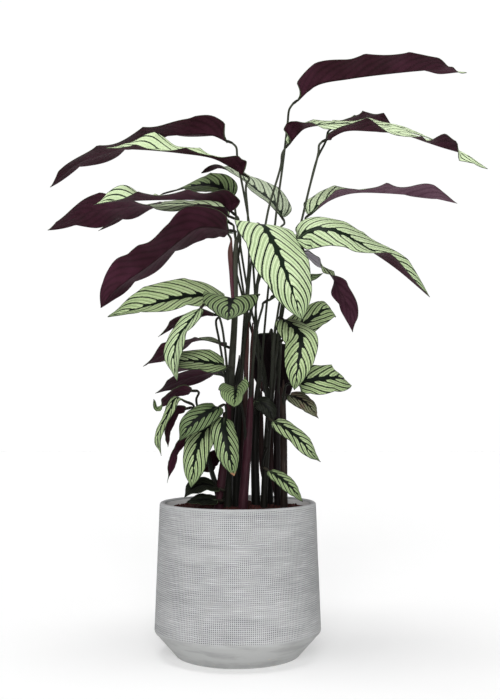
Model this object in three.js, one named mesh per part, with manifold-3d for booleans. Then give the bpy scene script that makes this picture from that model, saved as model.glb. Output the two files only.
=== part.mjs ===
// A potted white star calathea: a concrete-look pot, its soil, ten leafy shoots and their blades.
// Millimetres, +Z up. The origin is the centre of the pot's underside, and -Y is the plant's front.

import * as THREE from "three";
import { mergeVertices } from "three/addons/utils/BufferGeometryUtils.js";
import Module from "manifold-3d";

const wasm = await Module();
wasm.setup();

// Driving dimensions of the pot
const POT_HEIGHT = 270;
const POT_WIDEST_RADIUS = 150;
const POT_RIM_RADIUS = 142;
const POT_BASE_RADIUS = 113;
const POT_FOOT_HEIGHT = 43;
const POT_WALL = 11;
const POT_FLOOR = 16;
const POT_LIP_ROUND = 4;
const POT_LIP_CORNER = 1.2;
const POT_EDGE_ROUND = 3;
const POT_INNER_FOOT = 55;
const POT_FLOOR_RADIUS = 97;
const POT_SEGMENTS = 40;

// Driving dimensions of the soil
const SOIL_BELOW_RIM = 13;
const SOIL_MOUND = 4;
const SOIL_CRUMB = 1.6;
const SOIL_RINGS = 3;
const GAP = 0.3;

// Driving dimensions of the blades and stalks
const BLADE_THICKNESS = 0.8;
const BLADE_RIB = 0.9;
const BLADE_NECK = 2.4;
const BLADE_NECK_LENGTH = 14;
const BLADE_TIP = 0.7;
const BLADE_NECK_SWELL = 0.45;
const BLADE_WIDEST_AT = 0.38;
const BLADE_BASE_POWER = 2.8;
const BLADE_BASE_ROUND = 0.38;
const BLADE_TIP_POWER = 2.8;
const BLADE_OPEN_BY = 0.05;
const BLADE_LOBE = 0.3;
const BLADE_LOBE_END = 0.3;
const WAVE_SHARPNESS = 0.8;
const WAVE_LEAF_PHASE = 0.29;
const WAVE_SIDE_PHASE = 0.37;
const LARGE_LEAF = 60;
const LARGE_LEAF_ROWS = 11;
const SMALL_LEAF_ROWS = 7;
const BLADE_COLUMNS = 4;
const BLADE_ROW_EVENNESS = 0.6;
const NORMAL_STEP_ALONG = 0.01;
const NORMAL_STEP_ACROSS = 0.2;
const STALK_RADIUS = 2.1;
const STALK_ROOT_RADIUS = 3;
const JOINT_RADIUS = 2.6;
const JOINT_LENGTH = 11;
const STALK_EASE = 14;
const STALK_EASE_SHARE = 0.2;
const STALK_SIDES = 5;
const CANE_SIDES = 8;
const SHEATH_SIDES = 6;
const CANE_DEPTH_IN_SOIL = 62;
const CANE_FOOT_TAPER = 0.7;

const SOIL_TOP = POT_HEIGHT - SOIL_BELOW_RIM;

const radians = THREE.MathUtils.degToRad;
const clamp = THREE.MathUtils.clamp;

// Each leaf: name, full width, wave height, number of waves, droop of the margins in degrees,
// and the stations of its midrib from the stalk to the tip. A station is x, y, z and the angle
// in degrees by which the left and the right half of the blade stand up from the level.
const LEAVES = [
  ["leaf_01", 98, 7, 4, 15, [[112, 35, 1026, 0, 56], [150, 48, 1060, 10, 46], [217, 70, 1081, 28, 36],
    [328, 95, 1103, 25, 34], [385, 105, 1111, 20, 34], [413, 110, 1113, 10, -8],
    [455, 115, 1109, 15, -45]]],
  ["leaf_02", 84, 5, 3, 15, [[95, 10, 935, 25, 80], [110, 13, 953, 28, 58], [124, 15, 966, 28, 0],
    [155, 20, 974, 28, -22], [210, 25, 978, 28, -28], [308, 35, 974, 30, -32],
    [380, 40, 949, 10, -15]]],
  ["leaf_03", 62, 5, 3, 10, [[190, 91, 991, 30, 18], [225, 112, 1010, 25, 14], [275, 138, 1018, 25, 14],
    [318, 158, 1001, 15, 0]]],
  ["leaf_04", 88, 7, 3, 10, [[163, -50, 927, 30, 5], [193, -60, 939, 30, 2], [240, -70, 936, 30, 8],
    [292, -85, 926, 28, -12], [335, -93, 909, 28, -14], [362, -98, 898, 30, 32], [381, -102, 891, 26, 26],
    [398, -105, 884, 22, -40], [437, -110, 857, 20, -48]]],
  ["leaf_05", 90, 7, 3, 10, [[136, 25, 805, 60, 15], [174, 40, 835, 40, 10], [218, 60, 853, 28, 3],
    [281, 80, 858, 22, 5], [372, 100, 854, 20, 38], [431, 110, 844, 20, 30]]],
  ["leaf_06", 120, 3, 3, 14, [[38, -50, 771, 0, 0], [46, -82, 762, 0, 0], [57, -108, 738, 0, 0],
    [70, -128, 706, 0, 0], [90, -150, 648, 0, 0], [109, -165, 587, 0, 0]]],
  ["leaf_07", 92, 4, 3, 15, [[104, -60, 740, 45, -70], [132, -70, 757, 45, -62], [174, -80, 753, 40, -50],
    [211, -85, 732, 32, -25], [276, -90, 687, 50, 14], [338, -85, 635, 50, 0]]],
  ["leaf_08", 50, 3, 3, 10, [[120, -35, 725, -12, 28], [142, -35, 706, -10, 22], [163, -40, 687, 10, -8],
    [183, -50, 652, -45, 50], [201, -55, 615, -60, 70], [205, -60, 575, -50, 50]]],
  ["leaf_09", 34, 2, 2, 10, [[55, -50, 634, 30, -20], [88, -66, 653, 30, -20], [121, -72, 670, 30, -45],
    [152, -66, 680, 30, -50]]],
  ["leaf_10", 60, 3, 2, 15, [[86, -10, 568, 50, -40], [108, -15, 586, 50, -40], [137, -15, 605, 50, -40],
    [165, -10, 623, 40, -40], [181, 20, 612, 20, -20]]],
  ["leaf_11", 62, 2, 2, 20, [[82, -60, 597, 0, 0], [97, -82, 584, 0, -20], [110, -100, 565, 0, -40],
    [107, -113, 531, 0, -40], [98, -118, 471, 0, -20]]],
  ["leaf_12", 58, 4, 3, 15, [[103, -75, 484, 55, -60], [132, -62, 490, 60, -62], [165, -48, 494, 60, -62],
    [190, -25, 494, 50, -50], [200, 10, 490, 40, -40]]],
  ["leaf_13", 34, 2, 2, 10, [[92, -31, 462, 40, -40], [108, -36, 458, 45, -50], [126, -40, 446, 45, -50],
    [145, -42, 422, 10, -10]]],
  ["leaf_14", 34, 3, 2, 15, [[63, -60, 417, 40, -40], [85, -70, 405, 50, -45], [111, -78, 383, 50, -45],
    [132, -82, 359, 40, -40], [145, -84, 347, 20, -20]]],
  ["leaf_15", 27, 2, 2, 15, [[55, -80, 331, 30, -30], [72, -90, 321, 50, -50], [94, -98, 303, 50, -50],
    [113, -95, 279, 20, -20]]],
  ["leaf_16", 98, 6, 4, 12, [[-22, 40, 949, 60, 15], [-51, 45, 962, 52, 14], [-93, 50, 965, 22, 16],
    [-171, 60, 960, 5, 14], [-249, 68, 935, 0, 5], [-312, 75, 915, 5, 0], [-367, 80, 869, 10, 10]]],
  ["leaf_17", 88, 5, 3, 12, [[9, -5, 874, 60, 30], [-13, -10, 886, 20, 20], [-46, -20, 900, -5, 25],
    [-106, -30, 907, -8, 37], [-160, -38, 910, -8, 70], [-200, -42, 911, -5, 50], [-240, -45, 912, 0, 20]]],
  ["leaf_18", 94, 6, 3, 12, [[-13, -28, 799, 50, 20], [-33, -40, 814, 25, 20], [-77, -55, 815, 5, 20],
    [-157, -65, 812, 5, 20], [-214, -70, 808, 0, 85], [-257, -70, 802, 0, 40]]],
  ["leaf_19", 102, 6, 4, 12, [[-17, 28, 801, 22, 40], [-52, 30, 816, 0, 40], [-100, 28, 825, -22, 25],
    [-156, 20, 822, -22, 8], [-220, 10, 815, 15, -20], [-278, -2, 803, 35, -35], [-350, -15, 767, 10, -10]]],
  ["leaf_20", 74, 4, 3, 12, [[-21, 80, 801, -10, 13], [-76, 98, 836, -13, 13], [-146, 110, 845, -13, 13],
    [-216, 115, 830, -5, 5], [-278, 115, 790, 0, 0]]],
  ["leaf_21", 74, 4, 2, 12, [[-18, 60, 847, -10, 60], [-42, 75, 868, -25, 60], [-80, 98, 876, -25, 45],
    [-158, 130, 865, 0, 20]]],
  ["leaf_22", 80, 4, 2, 12, [[82, 70, 810, 0, 60], [65, 80, 838, -5, 50], [34, 92, 866, -8, 45],
    [-2, 102, 896, 0, 28], [-37, 108, 914, 8, 18], [-75, 112, 905, 15, 15]]],
  ["leaf_23", 110, 5, 3, 12, [[-16, -30, 764, 30, -18], [-47, -30, 770, 38, -16], [-75, -27, 768, 35, -8],
    [-104, -22, 749, 26, 0], [-138, -16, 722, 20, 4], [-171, -10, 697, 34, 3],
    [-206, -2, 675, 62, -2], [-236, 8, 652, 72, -12], [-256, 18, 627, 72, -12]]],
  ["leaf_24", 88, 4, 3, 12, [[-16, 0, 633, -20, 40], [-62, -20, 644, -25, 50], [-113, -45, 636, -25, 60],
    [-172, -70, 617, -18, 58], [-228, -85, 600, 0, 30]]],
  ["leaf_25", 100, 3, 2, 10, [[-9, -40, 633, 10, 10], [-10, -95, 632, 10, 10], [-12, -130, 617, 5, 5],
    [-15, -165, 587, 0, 0]]],
  ["leaf_26", 52, 3, 2, 10, [[-65, -100, 612, 0, 10], [-82, -108, 589, 0, 25], [-101, -116, 560, 0, 25],
    [-108, -120, 529, 0, 25], [-103, -122, 486, 0, 10]]],
  ["leaf_27", 44, 3, 2, 10, [[-45, -30, 609, 10, 5], [-77, -40, 608, 20, -10], [-111, -50, 594, 25, -15],
    [-142, -58, 567, 10, -10]]],
  ["leaf_28", 62, 4, 3, 10, [[-22, -10, 553, 10, 20], [-44, -15, 561, 0, 25], [-69, -22, 564, 0, 5],
    [-131, -38, 539, 40, -25], [-170, -44, 515, 20, -15]]],
  ["leaf_29", 60, 3, 2, 12, [[-22, -60, 515, -20, 45], [-58, -68, 521, -35, 55], [-98, -77, 523, -25, 45],
    [-134, -82, 523, 0, 20]]],
  ["leaf_30", 56, 3, 2, 10, [[-29, 0, 510, 10, -10], [-60, -10, 504, 25, -25], [-105, -22, 491, 35, -35],
    [-149, -32, 467, 15, -10]]],
  ["leaf_31", 32, 2, 2, 10, [[-83, -45, 471, 30, -30], [-106, -52, 471, 35, -35], [-129, -58, 453, 35, -35],
    [-142, -62, 440, -30, 30], [-148, -64, 456, -40, 40]]],
  ["leaf_32", 30, 2, 2, 10, [[-90, -60, 451, 0, 10], [-107, -68, 458, -10, 15], [-122, -74, 430, -10, 10],
    [-140, -79, 388, -10, 10], [-133, -80, 357, 0, 0]]],
  ["leaf_33", 26, 2, 2, 10, [[-93, -40, 439, 40, -40], [-110, -46, 435, 50, -50], [-124, -50, 405, 50, -50],
    [-124, -52, 371, 30, -30]]],
  ["leaf_34", 44, 2, 2, 12, [[-32, -95, 442, -30, 30], [-55, -112, 430, -45, 55], [-80, -126, 410, -45, 58],
    [-98, -135, 385, -10, 10]]],
  ["leaf_35", 60, 2, 2, 12, [[-43, -60, 419, 0, 0], [-58, -78, 400, -10, 10], [-70, -90, 371, -10, 10],
    [-76, -96, 334, -10, 10], [-80, -97, 303, 0, 0]]],
  ["leaf_36", 48, 2, 2, 12, [[-23, -95, 423, 0, 0], [-23, -110, 409, 0, -30], [-17, -120, 379, 0, -45],
    [-5, -122, 325, 0, 0]]],
  ["leaf_37", 60, 4, 2, 12, [[-2, -95, 475, 50, 20], [-2, -115, 469, 50, 18], [-3, -135, 457, 45, 18],
    [-5, -147, 442, 20, 15]]],
  ["leaf_38", 24, 2, 2, 10, [[-85, -40, 390, 45, -45], [-106, -46, 373, 45, -45], [-118, -52, 338, 45, -45],
    [-125, -52, 308, 20, -20]]],
  ["leaf_39", 40, 2, 2, 10, [[-38, -8, 356, 50, -50], [-54, -14, 340, 60, -60], [-71, -18, 322, 20, -20]]],
  ["leaf_40", 42, 2, 2, 12, [[-33, -66, 299, -10, 10], [-58, -71, 307, -25, 38], [-80, -76, 299, -25, 38],
    [-93, -80, 285, -10, 10]]],
  ["leaf_41", 24, 1, 2, 10, [[-36, -70, 279, -40, 50], [-60, -80, 282, -40, 50], [-88, -92, 278, -20, 20]]],
  ["leaf_42", 58, 3, 2, 12, [[60, 64, 583, 0, 0], [53, 88, 566, 0, 0], [49, 98, 524, 0, 0],
    [49, 100, 470, 0, 0]]],
  ["leaf_43", 46, 3, 2, 12, [[81, 60, 562, 0, 0], [84, 82, 545, 0, 0], [86, 91, 500, 0, 0],
    [86, 93, 446, 0, 0]]],
  ["leaf_44", 92, 4, 3, 15, [[56, 72, 752, 0, 0], [72, 135, 782, 0, 0], [90, 200, 774, -5, -5],
    [103, 255, 732, -5, -5], [108, 285, 680, 0, 0]]],
  ["leaf_45", 76, 4, 3, 15, [[-26, 50, 775, 0, 0], [-67, 110, 806, 0, 0], [-110, 170, 812, 0, 0],
    [-179, 250, 766, 0, 0]]],
  ["leaf_46", 70, 4, 3, 15, [[110, 50, 764, 0, 0], [150, 110, 791, 0, 0], [206, 180, 793, 0, 0],
    [271, 245, 769, 0, 0]]],
  ["leaf_47", 30, 2, 2, 12, [[32, -25, 452, 50, -50], [44, -31, 449, 60, -60], [56, -36, 438, 60, -60],
    [64, -38, 416, 40, -40]]],
  ["leaf_48", 54, 3, 2, 12, [[-31, 60, 503, 0, 0], [-66, 110, 526, 0, 0], [-102, 150, 524, 0, 0],
    [-132, 180, 511, 0, 0]]],
];

// Each shoot: name, the cane's points with its radius there, the stalks of its leaves and the
// sheaths that wrap or leave the cane. A stalk is the leaf's name and the points that it passes
// from the cane up to the blade. A sheath is its points, each with a radius.
const SHOOTS = [
  ["shoot_left", [[-34, -45, 8.5], [-28, -45, 315, 8], [-21, -42, 368, 6.8], [-16, -38, 446, 5],
    [-14, -37, 474, 1.2]], [
    ["leaf_26", [[-16, -38, 440], [-22, -45, 540], [-32, -64, 600], [-48, -88, 622]]],
    ["leaf_27", [[-17, -38, 440], [-22, -40, 490], [-27, -43, 525], [-33, -44, 560], [-39, -39, 598]]],
    ["leaf_29", [[-16, -39, 436], [-13, -46, 480], [-13, -54, 504]]],
    ["leaf_31", [[-33, -45, 280], [-48, -44, 345], [-62, -41, 410], [-74, -44, 455]]],
    ["leaf_32", [[-34, -45, 270], [-46, -48, 325], [-62, -42, 385], [-78, -52, 436]]],
    ["leaf_33", [[-32, -43, 290], [-52, -40, 350], [-72, -39, 412], [-82, -39, 432]]],
    ["leaf_34", [[-25, -45, 340], [-22, -62, 395], [-20, -84, 440]]],
    ["leaf_35", [[-25, -45, 345], [-32, -47, 395], [-36, -50, 420]]],
    ["leaf_36", [[-22, -44, 360], [-20, -58, 405], [-21, -78, 429]]],
    ["leaf_38", [[-33, -45, 275], [-48, -43, 325], [-62, -40, 370], [-74, -39, 388]]],
    ["leaf_39", [[-29, -43, 310], [-27, -24, 340], [-30, -9, 358]]],
    ["leaf_40", [[-34, -46, 266], [-24, -54, 284], [-22, -62, 296]]],
    ["leaf_41", [[-34, -47, 272], [-26, -58, 274], [-24, -64, 277]]],
  ], []],
  ["shoot_main", [[-20, -15, 8.5], [-17, -15, 382, 7.5], [-13, -15, 491, 6.6], [-6, -15, 606, 6],
    [-5, -15, 711, 5.2], [-3, -16, 748, 3.8]], [
    ["leaf_23", [[-5, -15, 725], [-4, -17, 745], [-5, -24, 760]]],
    ["leaf_18", [[-4, -15, 730], [2, -17, 770], [0, -22, 788]]],
    ["leaf_19", [[-4, -17, 700], [4, 6, 750], [-2, 24, 790]]],
    ["leaf_25", [[-6, -15, 595], [-9, -24, 622]]],
    ["leaf_24", [[-7, -14, 590], [-4, -4, 615], [-7, 0, 630]]],
    ["leaf_28", [[-11, -14, 520], [-12, -12, 545]]],
    ["leaf_30", [[-13, -13, 470], [-16, -4, 500]]],
  ], [
    [[-9, -18, 632, 3], [-12, -19, 680, 3.6], [-14, -19, 725, 5], [-12, -19, 752, 1.2]],
  ]],
  ["shoot_middle", [[-3, 5, 8.5], [-2, 5, 382, 7.4], [3, 5, 460, 6], [6, 5, 530, 1.2]], [
    ["leaf_06", [[2, 5, 440], [10, 2, 530], [18, 2, 640], [25, 4, 718], [31, -14, 755]]],
    ["leaf_17", [[1, 6, 430], [6, 14, 530], [13, 15, 630], [20, 14, 720], [18, 8, 800], [15, 0, 855]]],
  ], [
    [[-1, 5, 300, 5], [8, 7, 372, 5.2], [13, 8, 450, 5], [16, 9, 540, 3.8], [20, 12, 600, 1.2]],
  ]],
  ["shoot_front", [[9, -40, 9], [17, -40, 365, 7.8], [22, -38, 440, 6], [24, -37, 478, 1.2]], [
    ["leaf_02", [[20, -38, 420], [27, -35, 520], [34, -22, 640], [44, -4, 732], [56, 4, 808], [80, 8, 894]]],
    ["leaf_09", [[20, -38, 425], [28, -40, 520], [36, -42, 590], [45, -45, 624]]],
    ["leaf_37", [[16, -40, 370], [10, -55, 430], [0, -78, 472]]],
  ], []],
  ["shoot_centre", [[33, 20, 8.5], [31, 20, 363, 7.5], [35, 21, 450, 6], [39, 20, 520, 1.2]], [
    ["leaf_01", [[35, 21, 435], [44, 24, 530], [54, 19, 641], [64, 16, 735], [72, 22, 811], [85, 38, 907],
      [94, 42, 985]]],
    ["leaf_16", [[34, 20, 435], [38, 14, 520], [33, 16, 620], [27, 24, 720], [20, 30, 790], [-2, 38, 915]]],
    ["leaf_47", [[34, 19, 425], [32, 0, 444], [31, -16, 451]]],
  ], [
    [[33, 20, 300, 5], [26, 26, 372, 5.4], [24, 30, 450, 5.4], [26, 30, 540, 4.2], [27, 29, 600, 1.2]],
  ]],
  ["shoot_right", [[47, -12, 6.5], [51, -12, 346, 6.2], [56, -12, 419, 6], [63, -8, 491, 5],
    [70, -4, 600, 1.2]], [
    ["leaf_04", [[63, -8, 480], [73, -8, 570], [84, -12, 650], [99, -20, 710], [118, -25, 789],
      [130, -34, 840], [146, -46, 902]]],
    ["leaf_07", [[62, -9, 475], [67, -18, 570], [78, -32, 645], [90, -48, 700]]],
    ["leaf_08", [[63, -8, 490], [80, -4, 600], [98, -20, 700], [110, -30, 728]]],
    ["leaf_11", [[61, -9, 465], [63, -22, 540], [70, -38, 598]]],
    ["leaf_14", [[55, -12, 395], [51, -32, 412], [53, -50, 421]]],
    ["leaf_15", [[53, -12, 370], [46, -40, 352], [44, -68, 340]]],
  ], []],
  ["shoot_far_right", [[73, 15, 7], [72, 15, 363, 6.5], [71, 15, 440, 5.6], [76, 15, 530, 1.2]], [
    ["leaf_05", [[73, 15, 465], [80, 16, 600], [94, 18, 690], [112, 20, 765], [126, 22, 793]]],
    ["leaf_10", [[73, 15, 460], [78, 2, 540], [78, -8, 560]]],
  ], [
    [[71, 15, 275, 4], [62, 20, 330, 5.4], [60, 24, 400, 5.4], [62, 24, 500, 1.2]],
  ]],
  ["shoot_edge", [[83, -20, 7], [83, -20, 365, 6.4], [82, -20, 455, 4.8], [83, -21, 492, 1.2]], [
    ["leaf_12", [[82, -20, 450], [85, -45, 478], [90, -68, 484]]],
    ["leaf_13", [[82, -20, 440], [83, -26, 458]]],
  ], []],
  ["shoot_back_left", [[-15, 45, 6.5], [-12, 45, 400, 6], [-7, 46, 470, 4.8], [2, 46, 540, 1.2]], [
    ["leaf_44", [[-9, 46, 440], [8, 45, 540], [28, 46, 640], [44, 50, 720]]],
    ["leaf_22", [[-10, 45, 430], [6, 36, 540], [30, 34, 650], [60, 42, 740], [80, 56, 785]]],
    ["leaf_48", [[-11, 46, 440], [-20, 52, 488]]],
  ], [
    [[-14, 45, 275, 4], [-2, 44, 325, 6], [7, 42, 395, 6], [12, 44, 480, 1.2]],
  ]],
  ["shoot_back_right", [[58, 50, 7.5], [60, 50, 400, 6.5], [62, 50, 470, 5], [66, 50, 540, 1.2]], [
    ["leaf_03", [[62, 48, 450], [72, 46, 560], [86, 41, 657], [102, 36, 719], [120, 42, 795],
      [129, 54, 832], [136, 62, 862], [152, 68, 922], [170, 76, 960]]],
    ["leaf_46", [[62, 50, 450], [72, 54, 560], [86, 52, 660], [100, 44, 745]]],
    ["leaf_21", [[61, 51, 440], [44, 55, 540], [20, 58, 650], [2, 58, 760], [-7, 57, 825]]],
    ["leaf_20", [[60, 52, 430], [36, 64, 540], [12, 70, 650], [-2, 73, 740], [-9, 75, 785]]],
    ["leaf_45", [[60, 48, 445], [34, 42, 550], [8, 36, 650], [-12, 32, 730]]],
    ["leaf_42", [[61, 51, 445], [64, 52, 520], [64, 52, 575]]],
    ["leaf_43", [[62, 49, 450], [72, 50, 510], [79, 51, 556]]],
  ], [
    [[57, 50, 275, 4], [46, 52, 330, 6], [42, 54, 400, 6], [44, 56, 490, 1.2]],
    [[59, 50, 275, 4], [72, 52, 330, 6], [78, 54, 390, 6.4], [80, 54, 480, 1.2]],
  ]],
];

const COLOURS = {
  pot: new THREE.Color(0.62, 0.62, 0.6),
  soil: new THREE.Color(0.09, 0.04, 0.035),
  shoot: new THREE.Color(0.16, 0.15, 0.1),
  blade: new THREE.Color(0.52, 0.62, 0.36),
};

function material(name, roughness) {
  return new THREE.MeshStandardMaterial({ color: COLOURS[name], roughness, metalness: 0 });
}

// Solid helpers

function toManifold(geometry) {
  const bare = geometry.clone();
  bare.deleteAttribute("normal");
  bare.deleteAttribute("uv");
  const merged = mergeVertices(bare, 1e-4);
  return new wasm.Manifold(new wasm.Mesh({
    numProp: 3,
    vertProperties: new Float32Array(merged.attributes.position.array),
    triVerts: new Uint32Array(merged.index.array),
  }));
}

function toGeometry(solid) {
  const mesh = solid.getMesh();
  const geometry = new THREE.BufferGeometry();
  geometry.setAttribute("position", new THREE.BufferAttribute(new Float32Array(mesh.vertProperties), 3));
  geometry.setIndex(new THREE.BufferAttribute(new Uint32Array(mesh.triVerts), 1));
  geometry.computeVertexNormals();
  return geometry;
}

function indexedGeometry(points, triangles) {
  const geometry = new THREE.BufferGeometry();
  const numbers = points.flatMap((point) => [point.x, point.y, point.z]);
  geometry.setAttribute("position", new THREE.BufferAttribute(new Float32Array(numbers), 3));
  geometry.setIndex(triangles);
  geometry.computeVertexNormals();
  return geometry;
}

// A round tapered stalk through the rings' centres. Each ring turns with the path's direction.
function stalk(centres, directions, radii, sides) {
  const points = [];
  const triangles = [];
  let across = new THREE.Vector3(1, 0, 0);
  centres.forEach((centre, ring) => {
    const along = directions[ring];
    across.addScaledVector(along, -across.dot(along)).normalize();
    const other = new THREE.Vector3().crossVectors(along, across);
    for (let side = 0; side < sides; side += 1) {
      const turn = (2 * Math.PI * side) / sides;
      points.push(centre.clone()
        .addScaledVector(across, radii[ring] * Math.cos(turn))
        .addScaledVector(other, radii[ring] * Math.sin(turn)));
    }
  });
  const last = (centres.length - 1) * sides;
  for (let ring = 0; ring + 1 < centres.length; ring += 1) {
    for (let side = 0; side < sides; side += 1) {
      const a = ring * sides + side;
      const b = ring * sides + (side + 1) % sides;
      triangles.push(a, b, a + sides, b, b + sides, a + sides);
    }
  }
  for (let side = 1; side + 1 < sides; side += 1) {
    triangles.push(0, side + 1, side);
    triangles.push(last, last + side, last + side + 1);
  }
  return indexedGeometry(points, triangles);
}

// The blade's own frame

function smoothPath(points) {
  return new THREE.CatmullRomCurve3(points, false, "centripetal");
}

// The value between stations at a share of the whole, on smooth steps
function between(values, share) {
  const place = clamp(share, 0, 1) * (values.length - 1);
  const first = Math.min(Math.floor(place), values.length - 2);
  const part = place - first;
  const step = part * part * (3 - 2 * part);
  return values[first] + (values[first + 1] - values[first]) * step;
}

function leafFrame(stations) {
  const points = stations.map((row) => new THREE.Vector3(row[0], row[1], row[2]));
  const curve = smoothPath(points);
  const heading = points[points.length - 1].clone().sub(points[0]);
  heading.z = 0;
  const side = heading.normalize().cross(new THREE.Vector3(0, 0, 1));
  return { curve, side, length: curve.getLength() };
}

// The midrib's place and directions at a share of its length
function frameAt(frame, share) {
  const station = frame.curve.getUtoTmapping(share);
  const place = frame.curve.getPoint(station);
  const along = frame.curve.getTangent(station).normalize();
  const right = frame.side.clone().addScaledVector(along, -frame.side.dot(along)).normalize();
  const up = new THREE.Vector3().crossVectors(right, along).normalize();
  return { place, along, right, up, station };
}

// Half the width as a share of the widest: a round base and a long drawn-out tip
function outline(share) {
  if (share < BLADE_WIDEST_AT) {
    const toBase = (BLADE_WIDEST_AT - share) / BLADE_WIDEST_AT;
    return (1 - toBase ** BLADE_BASE_POWER) ** BLADE_BASE_ROUND;
  }
  const toTip = (share - BLADE_WIDEST_AT) / (1 - BLADE_WIDEST_AT);
  return 1 - toTip ** BLADE_TIP_POWER;
}

// The margin's wave, sharp at its crests, from -1 to 1
function wave(share, count, phase) {
  return 1 - 2 * Math.abs(Math.sin(Math.PI * (count * share + phase))) ** WAVE_SHARPNESS;
}

// A point of the blade's upper face. Across runs from -1 at the left margin to 1 at the right.
function bladePoint(leaf, share, across) {
  const { frame, width, waveHeight, waves, droop, leftAngles, rightAngles, phase } = leaf;
  const { place, along, right, up, station } = frameAt(frame, share);
  const grown = clamp(share / BLADE_OPEN_BY, 0, 1);
  const half = Math.max((width / 2) * outline(share), share < 0.5 ? BLADE_NECK : BLADE_TIP);
  const part = Math.abs(across);
  const angles = across < 0 ? leftAngles : rightAngles;
  const bend = radians(droop) * grown;
  const start = radians(between(angles, station)) * grown + bend / 2;
  let outward = part * Math.cos(start);
  let upward = part * Math.sin(start);
  if (bend > 0.001) {
    outward = (Math.sin(start) - Math.sin(start - bend * part)) / bend;
    upward = (Math.cos(start - bend * part) - Math.cos(start)) / bend;
  }
  const crest = waveHeight * grown * Math.sin(Math.PI * share) ** 0.5 * part * part
    * wave(share, waves, across < 0 ? phase : phase + WAVE_SIDE_PHASE);
  const lobe = BLADE_LOBE * half * grown * Math.max(1 - share / BLADE_LOBE_END, 0) ** 2;
  return place.clone()
    .addScaledVector(along, -lobe * part * part)
    .addScaledVector(right, Math.sign(across) * (half * outward - crest * Math.sin(start)))
    .addScaledVector(up, half * upward + crest * Math.cos(start));
}

function bladeNormal(leaf, share, across) {
  if (share < NORMAL_STEP_ALONG) return frameAt(leaf.frame, 0).up;
  const back = bladePoint(leaf, share - NORMAL_STEP_ALONG, across);
  const front = bladePoint(leaf, Math.min(share + NORMAL_STEP_ALONG, 1), across);
  const left = bladePoint(leaf, share, Math.max(across - NORMAL_STEP_ACROSS, -1));
  const right = bladePoint(leaf, share, Math.min(across + NORMAL_STEP_ACROSS, 1));
  return right.sub(left).cross(front.sub(back)).normalize();
}

// Both faces of the blade on one grid, split alike, with a rim between them
function blade(leaf) {
  const long = leaf.width > LARGE_LEAF ? LARGE_LEAF_ROWS : SMALL_LEAF_ROWS;
  const wide = BLADE_COLUMNS;
  const upper = [];
  const lower = [];
  for (let i = 0; i <= long; i += 1) {
    const even = i / long;
    const gathered = 0.5 - 0.5 * Math.cos(Math.PI * even);
    const share = BLADE_ROW_EVENNESS * even + (1 - BLADE_ROW_EVENNESS) * gathered;
    const neck = Math.exp(-(share * leaf.frame.length) / BLADE_NECK_LENGTH);
    const swell = neck * BLADE_NECK * BLADE_NECK_SWELL;
    for (let j = 0; j <= wide; j += 1) {
      const across = (2 * j) / wide - 1;
      const point = bladePoint(leaf, share, across);
      const normal = bladeNormal(leaf, share, across);
      const rib = across === 0 ? BLADE_RIB * (1 - share) : 0;
      upper.push(point.clone().addScaledVector(normal, swell));
      lower.push(point.clone().addScaledVector(normal, -BLADE_THICKNESS - rib - swell));
    }
  }
  const triangles = [];
  const row = wide + 1;
  const under = upper.length;
  for (let i = 0; i < long; i += 1) {
    for (let j = 0; j < wide; j += 1) {
      const a = i * row + j;
      const b = a + 1;
      const c = a + row;
      const d = c + 1;
      const split = j < wide / 2 ? [[a, b, d], [a, d, c]] : [[a, b, c], [b, d, c]];
      split.forEach(([p, q, r]) => {
        triangles.push(p, q, r);
        triangles.push(under + p, under + r, under + q);
      });
    }
    const left = i * row;
    const right = left + wide;
    triangles.push(left, left + row, under + left, left + row, under + left + row, under + left);
    triangles.push(right, under + right, right + row, right + row, under + right, under + right + row);
  }
  const end = long * row;
  for (let j = 0; j < wide; j += 1) {
    triangles.push(j, under + j, j + 1, j + 1, under + j, under + j + 1);
    triangles.push(end + j, end + j + 1, under + end + j, end + j + 1, under + end + j + 1, under + end + j);
  }
  return indexedGeometry(upper.concat(lower), triangles);
}

// Cane and leaf stalks of one shoot, joined in one solid

function ringsAlong(points, radii, count) {
  const curve = smoothPath(points);
  const centres = [];
  const directions = [];
  const sizes = [];
  for (let i = 0; i <= count; i += 1) {
    centres.push(curve.getPoint(i / count));
    directions.push(curve.getTangent(i / count).normalize());
    sizes.push(between(radii, i / count));
  }
  return [centres, directions, sizes];
}

function cane(rows) {
  const [x, y, radius] = rows[0];
  const points = [new THREE.Vector3(x, y, SOIL_TOP - CANE_DEPTH_IN_SOIL), new THREE.Vector3(x, y, SOIL_TOP)];
  const radii = [radius * CANE_FOOT_TAPER, radius];
  rows.slice(1).forEach((row) => {
    points.push(new THREE.Vector3(row[0], row[1], row[2]));
    radii.push(row[3]);
  });
  const [centres, directions, sizes] = ringsAlong(points, radii, 2 * (points.length - 1));
  centres[0].set(x, y, centres[0].z);
  centres[1].set(x, y, centres[1].z);
  centres[2].set(x, y, centres[2].z);
  directions[0].set(0, 0, 1);
  directions[1].set(0, 0, 1);
  return toManifold(stalk(centres, directions, sizes, CANE_SIDES));
}

// The point before a joint that turns its stalk halfway into the joint's direction
function easedPoint(last, joint, along) {
  const reach = Math.min(STALK_EASE, STALK_EASE_SHARE * last.distanceTo(joint));
  const back = last.clone().sub(joint).normalize();
  return joint.clone().addScaledVector(back.sub(along), reach);
}

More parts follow.
